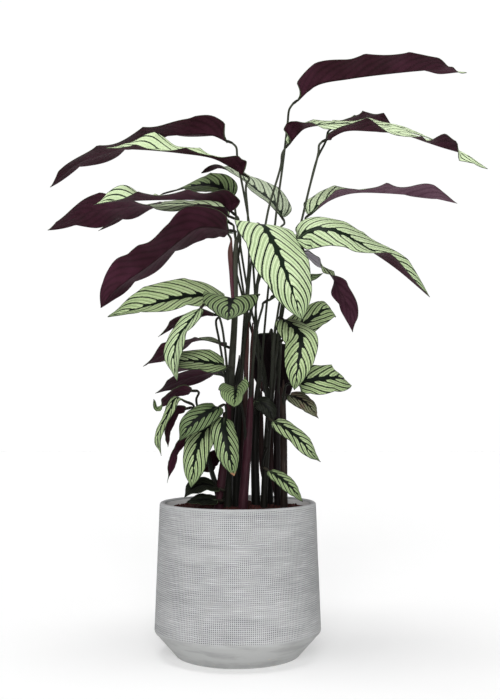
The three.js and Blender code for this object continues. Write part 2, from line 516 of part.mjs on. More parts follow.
function leafStalk(leaf, rows) {
  const { place, along } = frameAt(leaf.frame, 0);
  const end = place.clone().addScaledVector(along, -GAP);
  const joint = place.clone().addScaledVector(along, -JOINT_LENGTH);
  const points = rows.map((row) => new THREE.Vector3(row[0], row[1], row[2]));
  points.push(easedPoint(points[points.length - 1], joint, along), joint);
  const radii = points.map((point, index) => (index === 0 ? STALK_ROOT_RADIUS : STALK_RADIUS));
  const [centres, directions, sizes] = ringsAlong(points, radii, points.length);
  directions[directions.length - 1].add(along).normalize();
  centres.push(end);
  directions.push(along);
  sizes.push(JOINT_RADIUS);
  return toManifold(stalk(centres, directions, sizes, STALK_SIDES));
}

function sheath(rows) {
  const points = rows.map((row) => new THREE.Vector3(row[0], row[1], row[2]));
  const radii = rows.map((row) => row[3]);
  return toManifold(stalk(...ringsAlong(points, radii, points.length), SHEATH_SIDES));
}

function shoot(caneRows, stalkRows, sheaths, leaves) {
  let solid = cane(caneRows);
  stalkRows.forEach(([leafName, rows]) => {
    solid = solid.add(leafStalk(leaves.get(leafName), rows));
  });
  sheaths.forEach((rows) => {
    solid = solid.add(sheath(rows));
  });
  return toGeometry(solid);
}

// The pot: a turned shell with a chamfered foot and a rounded lip

function pot() {
  const inside = POT_RIM_RADIUS - POT_WALL;
  const outline2d = [
    [0, 0],
    [POT_BASE_RADIUS - POT_EDGE_ROUND, 0],
    [POT_BASE_RADIUS, POT_EDGE_ROUND / 2],
    [POT_WIDEST_RADIUS - POT_EDGE_ROUND, POT_FOOT_HEIGHT - POT_EDGE_ROUND],
    [POT_WIDEST_RADIUS, POT_FOOT_HEIGHT + POT_EDGE_ROUND / 2],
    [POT_RIM_RADIUS, POT_HEIGHT - POT_LIP_ROUND],
    [POT_RIM_RADIUS - POT_LIP_CORNER, POT_HEIGHT - POT_LIP_CORNER],
    [POT_RIM_RADIUS - POT_LIP_ROUND, POT_HEIGHT],
    [inside + POT_LIP_ROUND, POT_HEIGHT],
    [inside + POT_LIP_CORNER, POT_HEIGHT - POT_LIP_CORNER],
    [inside, POT_HEIGHT - POT_LIP_ROUND],
    [inside, POT_INNER_FOOT],
    [POT_FLOOR_RADIUS, POT_FLOOR],
    [0, POT_FLOOR],
  ];
  const profile = outline2d.map(([radius, height]) => new THREE.Vector2(radius, height));
  const geometry = new THREE.LatheGeometry(profile, POT_SEGMENTS);
  geometry.rotateX(Math.PI / 2);
  return toGeometry(toManifold(geometry));
}

// The soil: it fills the pot, its top is mounded and crumbly, and the canes stand in plain holes

function soilHeight(x, y, radius, reach) {
  const mound = SOIL_MOUND * (1 - (radius / reach) ** 2);
  const crumbs = Math.sin(x * 0.19 + 1.3) * Math.sin(y * 0.23 + 0.4) + 0.6 * Math.sin(x * 0.37 - y * 0.29);
  return SOIL_TOP + mound + SOIL_CRUMB * crumbs;
}

function soilSolid() {
  const inside = POT_RIM_RADIUS - POT_WALL - GAP;
  const bends = [[POT_FLOOR_RADIUS - GAP, POT_FLOOR + GAP], [inside, POT_INNER_FOOT + GAP]];
  const points = [];
  const triangles = [];
  const ringStart = [];
  const addRing = (place) => {
    ringStart.push(points.length);
    for (let k = 0; k < POT_SEGMENTS; k += 1) {
      const turn = (2 * Math.PI * k) / POT_SEGMENTS;
      points.push(place(Math.cos(turn), Math.sin(turn)));
    }
  };
  bends.forEach(([radius, height]) => {
    addRing((c, s) => new THREE.Vector3(radius * c, radius * s, height));
  });
  for (let ring = SOIL_RINGS; ring > 0; ring -= 1) {
    const radius = (inside * ring) / SOIL_RINGS;
    addRing((c, s) => {
      const x = radius * c;
      const y = radius * s;
      return new THREE.Vector3(x, y, soilHeight(x, y, radius, inside));
    });
  }
  const bottom = points.push(new THREE.Vector3(0, 0, POT_FLOOR + GAP)) - 1;
  const top = points.push(new THREE.Vector3(0, 0, soilHeight(0, 0, 0, inside))) - 1;
  for (let ring = 0; ring + 1 < ringStart.length; ring += 1) {
    for (let k = 0; k < POT_SEGMENTS; k += 1) {
      const next = (k + 1) % POT_SEGMENTS;
      const a = ringStart[ring] + k;
      const b = ringStart[ring] + next;
      const c = ringStart[ring + 1] + k;
      const d = ringStart[ring + 1] + next;
      triangles.push(a, b, c, b, d, c);
    }
  }
  const last = ringStart[ringStart.length - 1];
  for (let k = 0; k < POT_SEGMENTS; k += 1) {
    const next = (k + 1) % POT_SEGMENTS;
    triangles.push(bottom, ringStart[0] + next, ringStart[0] + k);
    triangles.push(top, last + k, last + next);
  }
  return toManifold(indexedGeometry(points, triangles));
}

function caneHole(rows) {
  const [x, y, radius] = rows[0];
  const height = CANE_DEPTH_IN_SOIL * 1.5;
  const hole = new THREE.CylinderGeometry(radius + GAP, radius + GAP, height, CANE_SIDES);
  hole.rotateX(Math.PI / 2);
  hole.translate(x, y, SOIL_TOP - CANE_DEPTH_IN_SOIL - GAP + height / 2);
  return toManifold(hole);
}

function soil() {
  let solid = soilSolid();
  SHOOTS.forEach(([, rows]) => {
    solid = solid.subtract(caneHole(rows));
  });
  return toGeometry(solid);
}

// The assembly

const plant = new THREE.Group();

function add(name, geometry, surface) {
  const mesh = new THREE.Mesh(geometry, surface);
  mesh.name = name;
  plant.add(mesh);
}

const leaves = new Map(LEAVES.map(([name, width, waveHeight, waves, droop, stations], index) => [name, {
  width,
  waveHeight,
  waves,
  droop,
  leftAngles: stations.map((row) => row[3]),
  rightAngles: stations.map((row) => row[4]),
  phase: WAVE_LEAF_PHASE * index,
  frame: leafFrame(stations),
}]));

add("pot", pot(), material("pot", 0.85));
add("soil", soil(), material("soil", 1));
SHOOTS.forEach(([name, caneRows, stalkRows, sheaths]) => {
  add(name, shoot(caneRows, stalkRows, sheaths, leaves), material("shoot", 0.55));
});
leaves.forEach((leaf, name) => {
  add(name, blade(leaf), material("blade", 0.5));
});

export default plant;
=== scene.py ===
"""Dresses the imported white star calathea: fine blades with their veins, striped stems, soil and pot.

Lengths are metres and Z is up. The tables of leaves and stems are in millimetres, as in the solids.
"""

import math
import random

import bpy
import numpy as np
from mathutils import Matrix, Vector, noise


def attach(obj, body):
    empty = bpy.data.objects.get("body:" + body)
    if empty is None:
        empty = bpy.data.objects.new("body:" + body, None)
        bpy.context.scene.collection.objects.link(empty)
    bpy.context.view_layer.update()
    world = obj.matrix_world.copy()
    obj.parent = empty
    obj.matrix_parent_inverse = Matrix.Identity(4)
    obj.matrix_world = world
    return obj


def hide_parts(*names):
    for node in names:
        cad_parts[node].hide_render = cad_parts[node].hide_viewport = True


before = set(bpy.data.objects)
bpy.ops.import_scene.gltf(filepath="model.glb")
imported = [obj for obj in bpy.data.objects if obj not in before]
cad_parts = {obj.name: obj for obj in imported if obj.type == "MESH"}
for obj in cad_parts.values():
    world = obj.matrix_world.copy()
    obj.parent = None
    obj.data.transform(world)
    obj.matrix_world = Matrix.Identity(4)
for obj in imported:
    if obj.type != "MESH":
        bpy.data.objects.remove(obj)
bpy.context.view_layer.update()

MM = 0.001
SEED = 11

# Pot and soil, in millimetres
POT_HEIGHT = 270
POT_WIDEST_RADIUS = 150
POT_RIM_RADIUS = 142
POT_BASE_RADIUS = 113
POT_FOOT_HEIGHT = 43
POT_WALL = 11
POT_FLOOR = 16
POT_FLOOR_RADIUS = 97
POT_INNER_FOOT = 55
POT_LIP_ROUND = 4
POT_EDGE_ROUND = 3
POT_BEVEL = 1.6
POT_INNER_RIM = 30
POT_FOOT_ROWS = 10
POT_WALL_ROWS = 40
POT_LIP_STEPS = 6
POT_SIDES = 160
POT_DENT = 0.35
POT_DENT_TURNS = 3
POT_DENT_RISE = 0.02
NET_COLUMNS = 268
NET_ROWS = 300
SOIL_TOP = 257
SOIL_MOUND = 4
SOIL_CRUMB = 1.6
SOIL_ROUGHNESS = 1.5
SOIL_ROWS = 60
SOIL_SIDES = 128
CLODS = 1500
CLOD_SIZES = (0.8, 2.6)
GAP = 0.3

# Blades and stalks, in millimetres
BLADE_THICKNESS = 0.8
BLADE_RIB = 0.9
BLADE_NECK = 2.4
BLADE_NECK_LENGTH = 14
BLADE_TIP = 0.7
BLADE_NECK_SWELL = 0.45
BLADE_WIDEST_AT = 0.38
BLADE_BASE_POWER = 2.8
BLADE_BASE_ROUND = 0.38
BLADE_TIP_POWER = 2.8
BLADE_OPEN_BY = 0.05
BLADE_LOBE = 0.3
BLADE_LOBE_END = 0.3
WAVE_SHARPNESS = 0.8
WAVE_LEAF_PHASE = 0.29
WAVE_SIDE_PHASE = 0.37
LARGE_LEAF = 60
STALK_RADIUS = 2.1
STALK_ROOT_RADIUS = 3
JOINT_RADIUS = 2.6
JOINT_LENGTH = 11
STALK_EASE = 14
STALK_EASE_SHARE = 0.2
CANE_STEPS, STALK_STEPS, JOINT_STEPS = 14, 12, 9
CANE_SIDES, STALK_SIDES, SHEATH_SIDES = 20, 10, 16
CANE_SLOT, STALK_SLOT, JOINT_SLOT, SHEATH_SLOT = 0, 1, 2, 3
CANE_DEPTH_IN_SOIL = 62
CANE_FOOT_TAPER = 0.7

# How finely the blades are drawn
FINE_ROWS = {True: 72, False: 48}
FINE_COLUMNS = {True: 28, False: 20}
VEINS_PER_SIDE = 7.5
SMALL_LEAF_VEINS = 6
VEIN_SPACINGS = (10, 27)
VEIN_REACH = 1.4
SMALL_LEAF_VEIN_REACH = 2.1
VEIN_BEND = 1.3
QUILT_HEIGHT = 0.35
QUILT_SPREAD = 1.3
GROOVE_DEPTH = 0.5
GROOVE_REACH = 1.6
RIB_REACH = 1.8
RIPPLE = 0.8
RIPPLE_KNOTS = 15
END_SHARE = 0.125
ROW_EVENNESS = 0.6
COLUMN_SPREAD = 0.9
UPPER_SLOT, LOWER_SLOT, RIM_SLOT = 0, 1, 2
SHEATH_STEPS = 8

# Between these heights in metres the stems turn from painted shade, near black on their lower parts, to
# their own colour
STEM_SHADE_HEIGHTS = (0.42, 0.66)

# Half-widths of the dark lines and of the dark band on the midrib: a fixed part in metres and a share
# of the blade's breadth
LINE_WIDTH = (0.001, 0.005)
BAND_WIDTH = (0.0018, 0.04)

# A dark line's largest half-width as a share of the space between two, and the fine lines in that space
LINE_OF_PITCH = 0.15
FINE_PER_PITCH = 5

# Camera, fitted to the pot's outline in the photograph
CAMERA_PLACE = (0.022, -1.75, 0.44)
CAMERA_PITCH = 0.061
CAMERA_LENS = 49
SENSOR = 36

# Light: strength of the even light, the backdrop's radius in metres, the floor's reach in millimetres,
# how brightly both glow, and lamps with the way to each, its strength and its softness
SKY_LIGHT = 0.36
BACKDROP_RADIUS = 14
BACKDROP_GLOW = 1.02
FLOOR_REACH = 8000
FLOOR_GLOW = 0.36
LAMPS = (
    ("front", (-0.03, -1.0, 0.45), 1.85, 34),
    ("above", (-0.05, -0.05, 1.0), 1.4, 30),
)

# Each leaf: full width, wave height, number of waves, droop of the margins in degrees, and the
# stations of its midrib: x, y, z, and the angles of its left and right halves
LEAVES = {
    1: (98, 7, 4, 15, [(112, 35, 1026, 0, 56), (150, 48, 1060, 10, 46), (217, 70, 1081, 28, 36),
        (328, 95, 1103, 25, 34), (385, 105, 1111, 20, 34), (413, 110, 1113, 10, -8),
        (455, 115, 1109, 15, -45)]),
    2: (84, 5, 3, 15, [(95, 10, 935, 25, 80), (110, 13, 953, 28, 58), (124, 15, 966, 28, 0),
        (155, 20, 974, 28, -22), (210, 25, 978, 28, -28), (308, 35, 974, 30, -32),
        (380, 40, 949, 10, -15)]),
    3: (62, 5, 3, 10, [(190, 91, 991, 30, 18), (225, 112, 1010, 25, 14), (275, 138, 1018, 25, 14),
        (318, 158, 1001, 15, 0)]),
    4: (88, 7, 3, 10, [(163, -50, 927, 30, 5), (193, -60, 939, 30, 2), (240, -70, 936, 30, 8),
        (292, -85, 926, 28, -12), (335, -93, 909, 28, -14), (362, -98, 898, 30, 32),
        (381, -102, 891, 26, 26), (398, -105, 884, 22, -40), (437, -110, 857, 20, -48)]),
    5: (90, 7, 3, 10, [(136, 25, 805, 60, 15), (174, 40, 835, 40, 10), (218, 60, 853, 28, 3),
        (281, 80, 858, 22, 5), (372, 100, 854, 20, 38), (431, 110, 844, 20, 30)]),
    6: (120, 3, 3, 14, [(38, -50, 771, 0, 0), (46, -82, 762, 0, 0), (57, -108, 738, 0, 0),
        (70, -128, 706, 0, 0), (90, -150, 648, 0, 0), (109, -165, 587, 0, 0)]),
    7: (92, 4, 3, 15, [(104, -60, 740, 45, -70), (132, -70, 757, 45, -62), (174, -80, 753, 40, -50),
        (211, -85, 732, 32, -25), (276, -90, 687, 50, 14), (338, -85, 635, 50, 0)]),
    8: (50, 3, 3, 10, [(120, -35, 725, -12, 28), (142, -35, 706, -10, 22), (163, -40, 687, 10, -8),
        (183, -50, 652, -45, 50), (201, -55, 615, -60, 70), (205, -60, 575, -50, 50)]),
    9: (34, 2, 2, 10, [(55, -50, 634, 30, -20), (88, -66, 653, 30, -20), (121, -72, 670, 30, -45),
        (152, -66, 680, 30, -50)]),
    10: (60, 3, 2, 15, [(86, -10, 568, 50, -40), (108, -15, 586, 50, -40), (137, -15, 605, 50, -40),
        (165, -10, 623, 40, -40), (181, 20, 612, 20, -20)]),
    11: (62, 2, 2, 20, [(82, -60, 597, 0, 0), (97, -82, 584, 0, -20), (110, -100, 565, 0, -40),
        (107, -113, 531, 0, -40), (98, -118, 471, 0, -20)]),
    12: (58, 4, 3, 15, [(103, -75, 484, 55, -60), (132, -62, 490, 60, -62), (165, -48, 494, 60, -62),
        (190, -25, 494, 50, -50), (200, 10, 490, 40, -40)]),
    13: (34, 2, 2, 10, [(92, -31, 462, 40, -40), (108, -36, 458, 45, -50), (126, -40, 446, 45, -50),
        (145, -42, 422, 10, -10)]),
    14: (34, 3, 2, 15, [(63, -60, 417, 40, -40), (85, -70, 405, 50, -45), (111, -78, 383, 50, -45),
        (132, -82, 359, 40, -40), (145, -84, 347, 20, -20)]),
    15: (27, 2, 2, 15, [(55, -80, 331, 30, -30), (72, -90, 321, 50, -50), (94, -98, 303, 50, -50),
        (113, -95, 279, 20, -20)]),
    16: (98, 6, 4, 12, [(-22, 40, 949, 60, 15), (-51, 45, 962, 52, 14), (-93, 50, 965, 22, 16),
        (-171, 60, 960, 5, 14), (-249, 68, 935, 0, 5), (-312, 75, 915, 5, 0), (-367, 80, 869, 10, 10)]),
    17: (88, 5, 3, 12, [(9, -5, 874, 60, 30), (-13, -10, 886, 20, 20), (-46, -20, 900, -5, 25),
        (-106, -30, 907, -8, 37), (-160, -38, 910, -8, 70), (-200, -42, 911, -5, 50),
        (-240, -45, 912, 0, 20)]),
    18: (94, 6, 3, 12, [(-13, -28, 799, 50, 20), (-33, -40, 814, 25, 20), (-77, -55, 815, 5, 20),
        (-157, -65, 812, 5, 20), (-214, -70, 808, 0, 85), (-257, -70, 802, 0, 40)]),
    19: (102, 6, 4, 12, [(-17, 28, 801, 22, 40), (-52, 30, 816, 0, 40), (-100, 28, 825, -22, 25),
        (-156, 20, 822, -22, 8), (-220, 10, 815, 15, -20), (-278, -2, 803, 35, -35),
        (-350, -15, 767, 10, -10)]),
    20: (74, 4, 3, 12, [(-21, 80, 801, -10, 13), (-76, 98, 836, -13, 13), (-146, 110, 845, -13, 13),
        (-216, 115, 830, -5, 5), (-278, 115, 790, 0, 0)]),
    21: (74, 4, 2, 12, [(-18, 60, 847, -10, 60), (-42, 75, 868, -25, 60), (-80, 98, 876, -25, 45),
        (-158, 130, 865, 0, 20)]),
    22: (80, 4, 2, 12, [(82, 70, 810, 0, 60), (65, 80, 838, -5, 50), (34, 92, 866, -8, 45),
        (-2, 102, 896, 0, 28), (-37, 108, 914, 8, 18), (-75, 112, 905, 15, 15)]),
    23: (110, 5, 3, 12, [(-16, -30, 764, 30, -18), (-47, -30, 770, 38, -16), (-75, -27, 768, 35, -8),
        (-104, -22, 749, 26, 0), (-138, -16, 722, 20, 4), (-171, -10, 697, 34, 3),
        (-206, -2, 675, 62, -2), (-236, 8, 652, 72, -12), (-256, 18, 627, 72, -12)]),
    24: (88, 4, 3, 12, [(-16, 0, 633, -20, 40), (-62, -20, 644, -25, 50), (-113, -45, 636, -25, 60),
        (-172, -70, 617, -18, 58), (-228, -85, 600, 0, 30)]),
    25: (100, 3, 2, 10, [(-9, -40, 633, 10, 10), (-10, -95, 632, 10, 10), (-12, -130, 617, 5, 5),
        (-15, -165, 587, 0, 0)]),
    26: (52, 3, 2, 10, [(-65, -100, 612, 0, 10), (-82, -108, 589, 0, 25), (-101, -116, 560, 0, 25),
        (-108, -120, 529, 0, 25), (-103, -122, 486, 0, 10)]),
    27: (44, 3, 2, 10, [(-45, -30, 609, 10, 5), (-77, -40, 608, 20, -10), (-111, -50, 594, 25, -15),
        (-142, -58, 567, 10, -10)]),
    28: (62, 4, 3, 10, [(-22, -10, 553, 10, 20), (-44, -15, 561, 0, 25), (-69, -22, 564, 0, 5),
        (-131, -38, 539, 40, -25), (-170, -44, 515, 20, -15)]),
    29: (60, 3, 2, 12, [(-22, -60, 515, -20, 45), (-58, -68, 521, -35, 55), (-98, -77, 523, -25, 45),
        (-134, -82, 523, 0, 20)]),
    30: (56, 3, 2, 10, [(-29, 0, 510, 10, -10), (-60, -10, 504, 25, -25), (-105, -22, 491, 35, -35),
        (-149, -32, 467, 15, -10)]),
    31: (32, 2, 2, 10, [(-83, -45, 471, 30, -30), (-106, -52, 471, 35, -35), (-129, -58, 453, 35, -35),
        (-142, -62, 440, -30, 30), (-148, -64, 456, -40, 40)]),
    32: (30, 2, 2, 10, [(-90, -60, 451, 0, 10), (-107, -68, 458, -10, 15), (-122, -74, 430, -10, 10),
        (-140, -79, 388, -10, 10), (-133, -80, 357, 0, 0)]),
    33: (26, 2, 2, 10, [(-93, -40, 439, 40, -40), (-110, -46, 435, 50, -50), (-124, -50, 405, 50, -50),
        (-124, -52, 371, 30, -30)]),
    34: (44, 2, 2, 12, [(-32, -95, 442, -30, 30), (-55, -112, 430, -45, 55), (-80, -126, 410, -45, 58),
        (-98, -135, 385, -10, 10)]),
    35: (60, 2, 2, 12, [(-43, -60, 419, 0, 0), (-58, -78, 400, -10, 10), (-70, -90, 371, -10, 10),
        (-76, -96, 334, -10, 10), (-80, -97, 303, 0, 0)]),
    36: (48, 2, 2, 12, [(-23, -95, 423, 0, 0), (-23, -110, 409, 0, -30), (-17, -120, 379, 0, -45),
        (-5, -122, 325, 0, 0)]),
    37: (60, 4, 2, 12, [(-2, -95, 475, 50, 20), (-2, -115, 469, 50, 18), (-3, -135, 457, 45, 18),
        (-5, -147, 442, 20, 15)]),
    38: (24, 2, 2, 10, [(-85, -40, 390, 45, -45), (-106, -46, 373, 45, -45), (-118, -52, 338, 45, -45),
        (-125, -52, 308, 20, -20)]),
    39: (40, 2, 2, 10, [(-38, -8, 356, 50, -50), (-54, -14, 340, 60, -60), (-71, -18, 322, 20, -20)]),
    40: (42, 2, 2, 12, [(-33, -66, 299, -10, 10), (-58, -71, 307, -25, 38), (-80, -76, 299, -25, 38),
        (-93, -80, 285, -10, 10)]),
    41: (24, 1, 2, 10, [(-36, -70, 279, -40, 50), (-60, -80, 282, -40, 50), (-88, -92, 278, -20, 20)]),
    42: (58, 3, 2, 12, [(60, 64, 583, 0, 0), (53, 88, 566, 0, 0), (49, 98, 524, 0, 0),
        (49, 100, 470, 0, 0)]),
    43: (46, 3, 2, 12, [(81, 60, 562, 0, 0), (84, 82, 545, 0, 0), (86, 91, 500, 0, 0),
        (86, 93, 446, 0, 0)]),
    44: (92, 4, 3, 15, [(56, 72, 752, 0, 0), (72, 135, 782, 0, 0), (90, 200, 774, -5, -5),
        (103, 255, 732, -5, -5), (108, 285, 680, 0, 0)]),
    45: (76, 4, 3, 15, [(-26, 50, 775, 0, 0), (-67, 110, 806, 0, 0), (-110, 170, 812, 0, 0),
        (-179, 250, 766, 0, 0)]),
    46: (70, 4, 3, 15, [(110, 50, 764, 0, 0), (150, 110, 791, 0, 0), (206, 180, 793, 0, 0),
        (271, 245, 769, 0, 0)]),
    47: (30, 2, 2, 12, [(32, -25, 452, 50, -50), (44, -31, 449, 60, -60), (56, -36, 438, 60, -60),
        (64, -38, 416, 40, -40)]),
    48: (54, 3, 2, 12, [(-31, 60, 503, 0, 0), (-66, 110, 526, 0, 0), (-102, 150, 524, 0, 0),
        (-132, 180, 511, 0, 0)]),
}

# Colours of canes
BURGUNDY = (70, 32, 44)
PLUM = (44, 22, 30)
OLIVE = (60, 64, 46)
MOSS = (34, 38, 26)
GREY_GREEN = (76, 80, 68)
BARK = (50, 37, 31)
ROSE = (122, 70, 84)
STRAW = (106, 92, 82)

# Each shoot: the cane's two colours, its streaks and how deep the painted shade on its lower part is, the
# cane's points and radii, the stalks of its leaves, and its sheaths
SHOOTS = {
    "left": ((BURGUNDY, PLUM, ROSE, 0.45), [
        (-34, -45, 8.5), (-28, -45, 315, 8), (-21, -42, 368, 6.8), (-16, -38, 446, 5),
        (-14, -37, 474, 1.2),
    ], {
        26: [(-16, -38, 440), (-22, -45, 540), (-32, -64, 600), (-48, -88, 622)],
        27: [(-17, -38, 440), (-22, -40, 490), (-27, -43, 525), (-33, -44, 560), (-39, -39, 598)],
        29: [(-16, -39, 436), (-13, -46, 480), (-13, -54, 504)],
        31: [(-33, -45, 280), (-48, -44, 345), (-62, -41, 410), (-74, -44, 455)],
        32: [(-34, -45, 270), (-46, -48, 325), (-62, -42, 385), (-78, -52, 436)],
        33: [(-32, -43, 290), (-52, -40, 350), (-72, -39, 412), (-82, -39, 432)],
        34: [(-25, -45, 340), (-22, -62, 395), (-20, -84, 440)],
        35: [(-25, -45, 345), (-32, -47, 395), (-36, -50, 420)],
        36: [(-22, -44, 360), (-20, -58, 405), (-21, -78, 429)],
        38: [(-33, -45, 275), (-48, -43, 325), (-62, -40, 370), (-74, -39, 388)],
        39: [(-29, -43, 310), (-27, -24, 340), (-30, -9, 358)],
        40: [(-34, -46, 266), (-24, -54, 284), (-22, -62, 296)],
        41: [(-34, -47, 272), (-26, -58, 274), (-24, -64, 277)],
    }, []),
    "main": ((GREY_GREEN, OLIVE, BURGUNDY, 0.8), [
        (-20, -15, 8.5), (-17, -15, 382, 7.5), (-13, -15, 491, 6.6), (-6, -15, 606, 6),
        (-5, -15, 711, 5.2), (-3, -16, 748, 3.8),
    ], {
        23: [(-5, -15, 725), (-4, -17, 745), (-5, -24, 760)],
        18: [(-4, -15, 730), (2, -17, 770), (0, -22, 788)],
        19: [(-4, -17, 700), (4, 6, 750), (-2, 24, 790)],
        25: [(-6, -15, 595), (-9, -24, 622)],
        24: [(-7, -14, 590), (-4, -4, 615), (-7, 0, 630)],
        28: [(-11, -14, 520), (-12, -12, 545)],
        30: [(-13, -13, 470), (-16, -4, 500)],
    }, [
        [(-9, -18, 632, 3), (-12, -19, 680, 3.6), (-14, -19, 725, 5), (-12, -19, 752, 1.2)],
    ]),
    "middle": ((MOSS, PLUM, OLIVE, 0.9), [
        (-3, 5, 8.5), (-2, 5, 382, 7.4), (3, 5, 460, 6), (6, 5, 530, 1.2),
    ], {
        6: [(2, 5, 440), (10, 2, 530), (18, 2, 640), (25, 4, 718), (31, -14, 755)],
        17: [(1, 6, 430), (6, 14, 530), (13, 15, 630), (20, 14, 720), (18, 8, 800), (15, 0, 855)],
    }, [
        [(-1, 5, 300, 5), (8, 7, 372, 5.2), (13, 8, 450, 5), (16, 9, 540, 3.8), (20, 12, 600, 1.2)],
    ]),
    "front": ((BURGUNDY, PLUM, ROSE, 0.5), [
        (9, -40, 9), (17, -40, 365, 7.8), (22, -38, 440, 6), (24, -37, 478, 1.2),
    ], {
        2: [(20, -38, 420), (27, -35, 520), (34, -22, 640), (44, -4, 732), (56, 4, 808), (80, 8, 894)],
        9: [(20, -38, 425), (28, -40, 520), (36, -42, 590), (45, -45, 624)],
        37: [(16, -40, 370), (10, -55, 430), (0, -78, 472)],
    }, []),
    "centre": ((MOSS, BARK, PLUM, 0.9), [
        (33, 20, 8.5), (31, 20, 363, 7.5), (35, 21, 450, 6), (39, 20, 520, 1.2),
    ], {
        1: [(35, 21, 435), (44, 24, 530), (54, 19, 641), (64, 16, 735), (72, 22, 811), (85, 38, 907),
            (94, 42, 985)],
        16: [(34, 20, 435), (38, 14, 520), (33, 16, 620), (27, 24, 720), (20, 30, 790), (-2, 38, 915)],
        47: [(34, 19, 425), (32, 0, 444), (31, -16, 451)],
    }, [
        [(33, 20, 300, 5), (26, 26, 372, 5.4), (24, 30, 450, 5.4), (26, 30, 540, 4.2),
            (27, 29, 600, 1.2)],
    ]),
    "right": ((MOSS, OLIVE, PLUM, 0.8), [
        (47, -12, 6.5), (51, -12, 346, 6.2), (56, -12, 419, 6), (63, -8, 491, 5), (70, -4, 600, 1.2),
    ], {
        4: [(63, -8, 480), (73, -8, 570), (84, -12, 650), (99, -20, 710), (118, -25, 789),
            (130, -34, 840), (146, -46, 902)],
        7: [(62, -9, 475), (67, -18, 570), (78, -32, 645), (90, -48, 700)],
        8: [(63, -8, 490), (80, -4, 600), (98, -20, 700), (110, -30, 728)],
        11: [(61, -9, 465), (63, -22, 540), (70, -38, 598)],
        14: [(55, -12, 395), (51, -32, 412), (53, -50, 421)],
        15: [(53, -12, 370), (46, -40, 352), (44, -68, 340)],
    }, []),
    "far_right": ((PLUM, MOSS, BURGUNDY, 0.88), [
        (73, 15, 7), (72, 15, 363, 6.5), (71, 15, 440, 5.6), (76, 15, 530, 1.2),
    ], {
        5: [(73, 15, 465), (80, 16, 600), (94, 18, 690), (112, 20, 765), (126, 22, 793)],
        10: [(73, 15, 460), (78, 2, 540), (78, -8, 560)],
    }, [
        [(71, 15, 275, 4), (62, 20, 330, 5.4), (60, 24, 400, 5.4), (62, 24, 500, 1.2)],
    ]),
    "edge": ((BARK, BURGUNDY, STRAW, 0.45), [
        (83, -20, 7), (83, -20, 365, 6.4), (82, -20, 455, 4.8), (83, -21, 492, 1.2),
    ], {
        12: [(82, -20, 450), (85, -45, 478), (90, -68, 484)],
        13: [(82, -20, 440), (83, -26, 458)],
    }, []),
    "back_left": ((MOSS, PLUM, OLIVE, 0.95), [
        (-15, 45, 6.5), (-12, 45, 400, 6), (-7, 46, 470, 4.8), (2, 46, 540, 1.2),
    ], {
        44: [(-9, 46, 440), (8, 45, 540), (28, 46, 640), (44, 50, 720)],
        22: [(-10, 45, 430), (6, 36, 540), (30, 34, 650), (60, 42, 740), (80, 56, 785)],
        48: [(-11, 46, 440), (-20, 52, 488)],
    }, [
        [(-14, 45, 275, 4), (-2, 44, 325, 6), (7, 42, 395, 6), (12, 44, 480, 1.2)],
    ]),
    "back_right": ((PLUM, MOSS, OLIVE, 0.95), [
        (58, 50, 7.5), (60, 50, 400, 6.5), (62, 50, 470, 5), (66, 50, 540, 1.2),
    ], {
        3: [(62, 48, 450), (72, 46, 560), (86, 41, 657), (102, 36, 719), (120, 42, 795), (129, 54, 832),
            (136, 62, 862), (152, 68, 922), (170, 76, 960)],
        46: [(62, 50, 450), (72, 54, 560), (86, 52, 660), (100, 44, 745)],
        21: [(61, 51, 440), (44, 55, 540), (20, 58, 650), (2, 58, 760), (-7, 57, 825)],
        20: [(60, 52, 430), (36, 64, 540), (12, 70, 650), (-2, 73, 740), (-9, 75, 785)],
        45: [(60, 48, 445), (34, 42, 550), (8, 36, 650), (-12, 32, 730)],
        42: [(61, 51, 445), (64, 52, 520), (64, 52, 575)],
        43: [(62, 49, 450), (72, 50, 510), (79, 51, 556)],
    }, [
        [(57, 50, 275, 4), (46, 52, 330, 6), (42, 54, 400, 6), (44, 56, 490, 1.2)],
        [(59, 50, 275, 4), (72, 52, 330, 6), (78, 54, 390, 6.4), (80, 54, 480, 1.2)],
    ]),
}

# Upper faces of blades: ground, deeper ground, fine lines, main veins, and what else sets one apart
# Of these, high is painted light, a lighter copy for the upper leaves; deep and dark are painted shade,
# darker copies for leaves in shade
TOPS = {
    "high": ((220, 236, 196), (196, 216, 166), (146, 170, 122), (26, 42, 24), {"clear": 0.2}),
    "pale": ((219, 235, 194), (190, 212, 158), (124, 150, 100), (16, 30, 17), {}),
    "mid": ((212, 229, 180), (168, 192, 132), (90, 114, 68), (12, 20, 13),
            {"band_scale": 1.15, "feather": 2.0}),
    "deep": ((158, 178, 128), (108, 130, 84), (60, 78, 48), (10, 15, 10),
             {"band_scale": 1.5, "feather": 2.2}),
    "greyed": ((200, 212, 182), (160, 172, 148), (112, 124, 102), (30, 38, 30), {}),
    "pink": ((176, 184, 150), (134, 146, 110), (92, 94, 70), (22, 20, 18), {"blush": (166, 112, 110)}),
    "dark": ((48, 54, 38), (24, 28, 20), (18, 20, 14), (7, 8, 6), {}),
    "browned": ((190, 208, 160), (140, 164, 110), (80, 102, 60), (10, 17, 11),
                {"band_scale": 1.6, "feather": 2.2, "tip": (150, 112, 84)}),
}

# Lower faces of blades: deep and light purple, and the colour of the base where it differs
# Of these, rosy is painted light on a lit underside; dark is painted shade, near black, for undersides in
# shade
UNDERS = {
    "pale": ((47, 20, 29), (80, 38, 57)),
    "mid": ((50, 22, 32), (80, 44, 60)),
    "rosy": ((84, 54, 70), (124, 96, 110)),
    "dark": ((17, 9, 12), (28, 16, 22)),
    "lilac": ((58, 30, 42), (90, 56, 72), (178, 172, 182)),
}
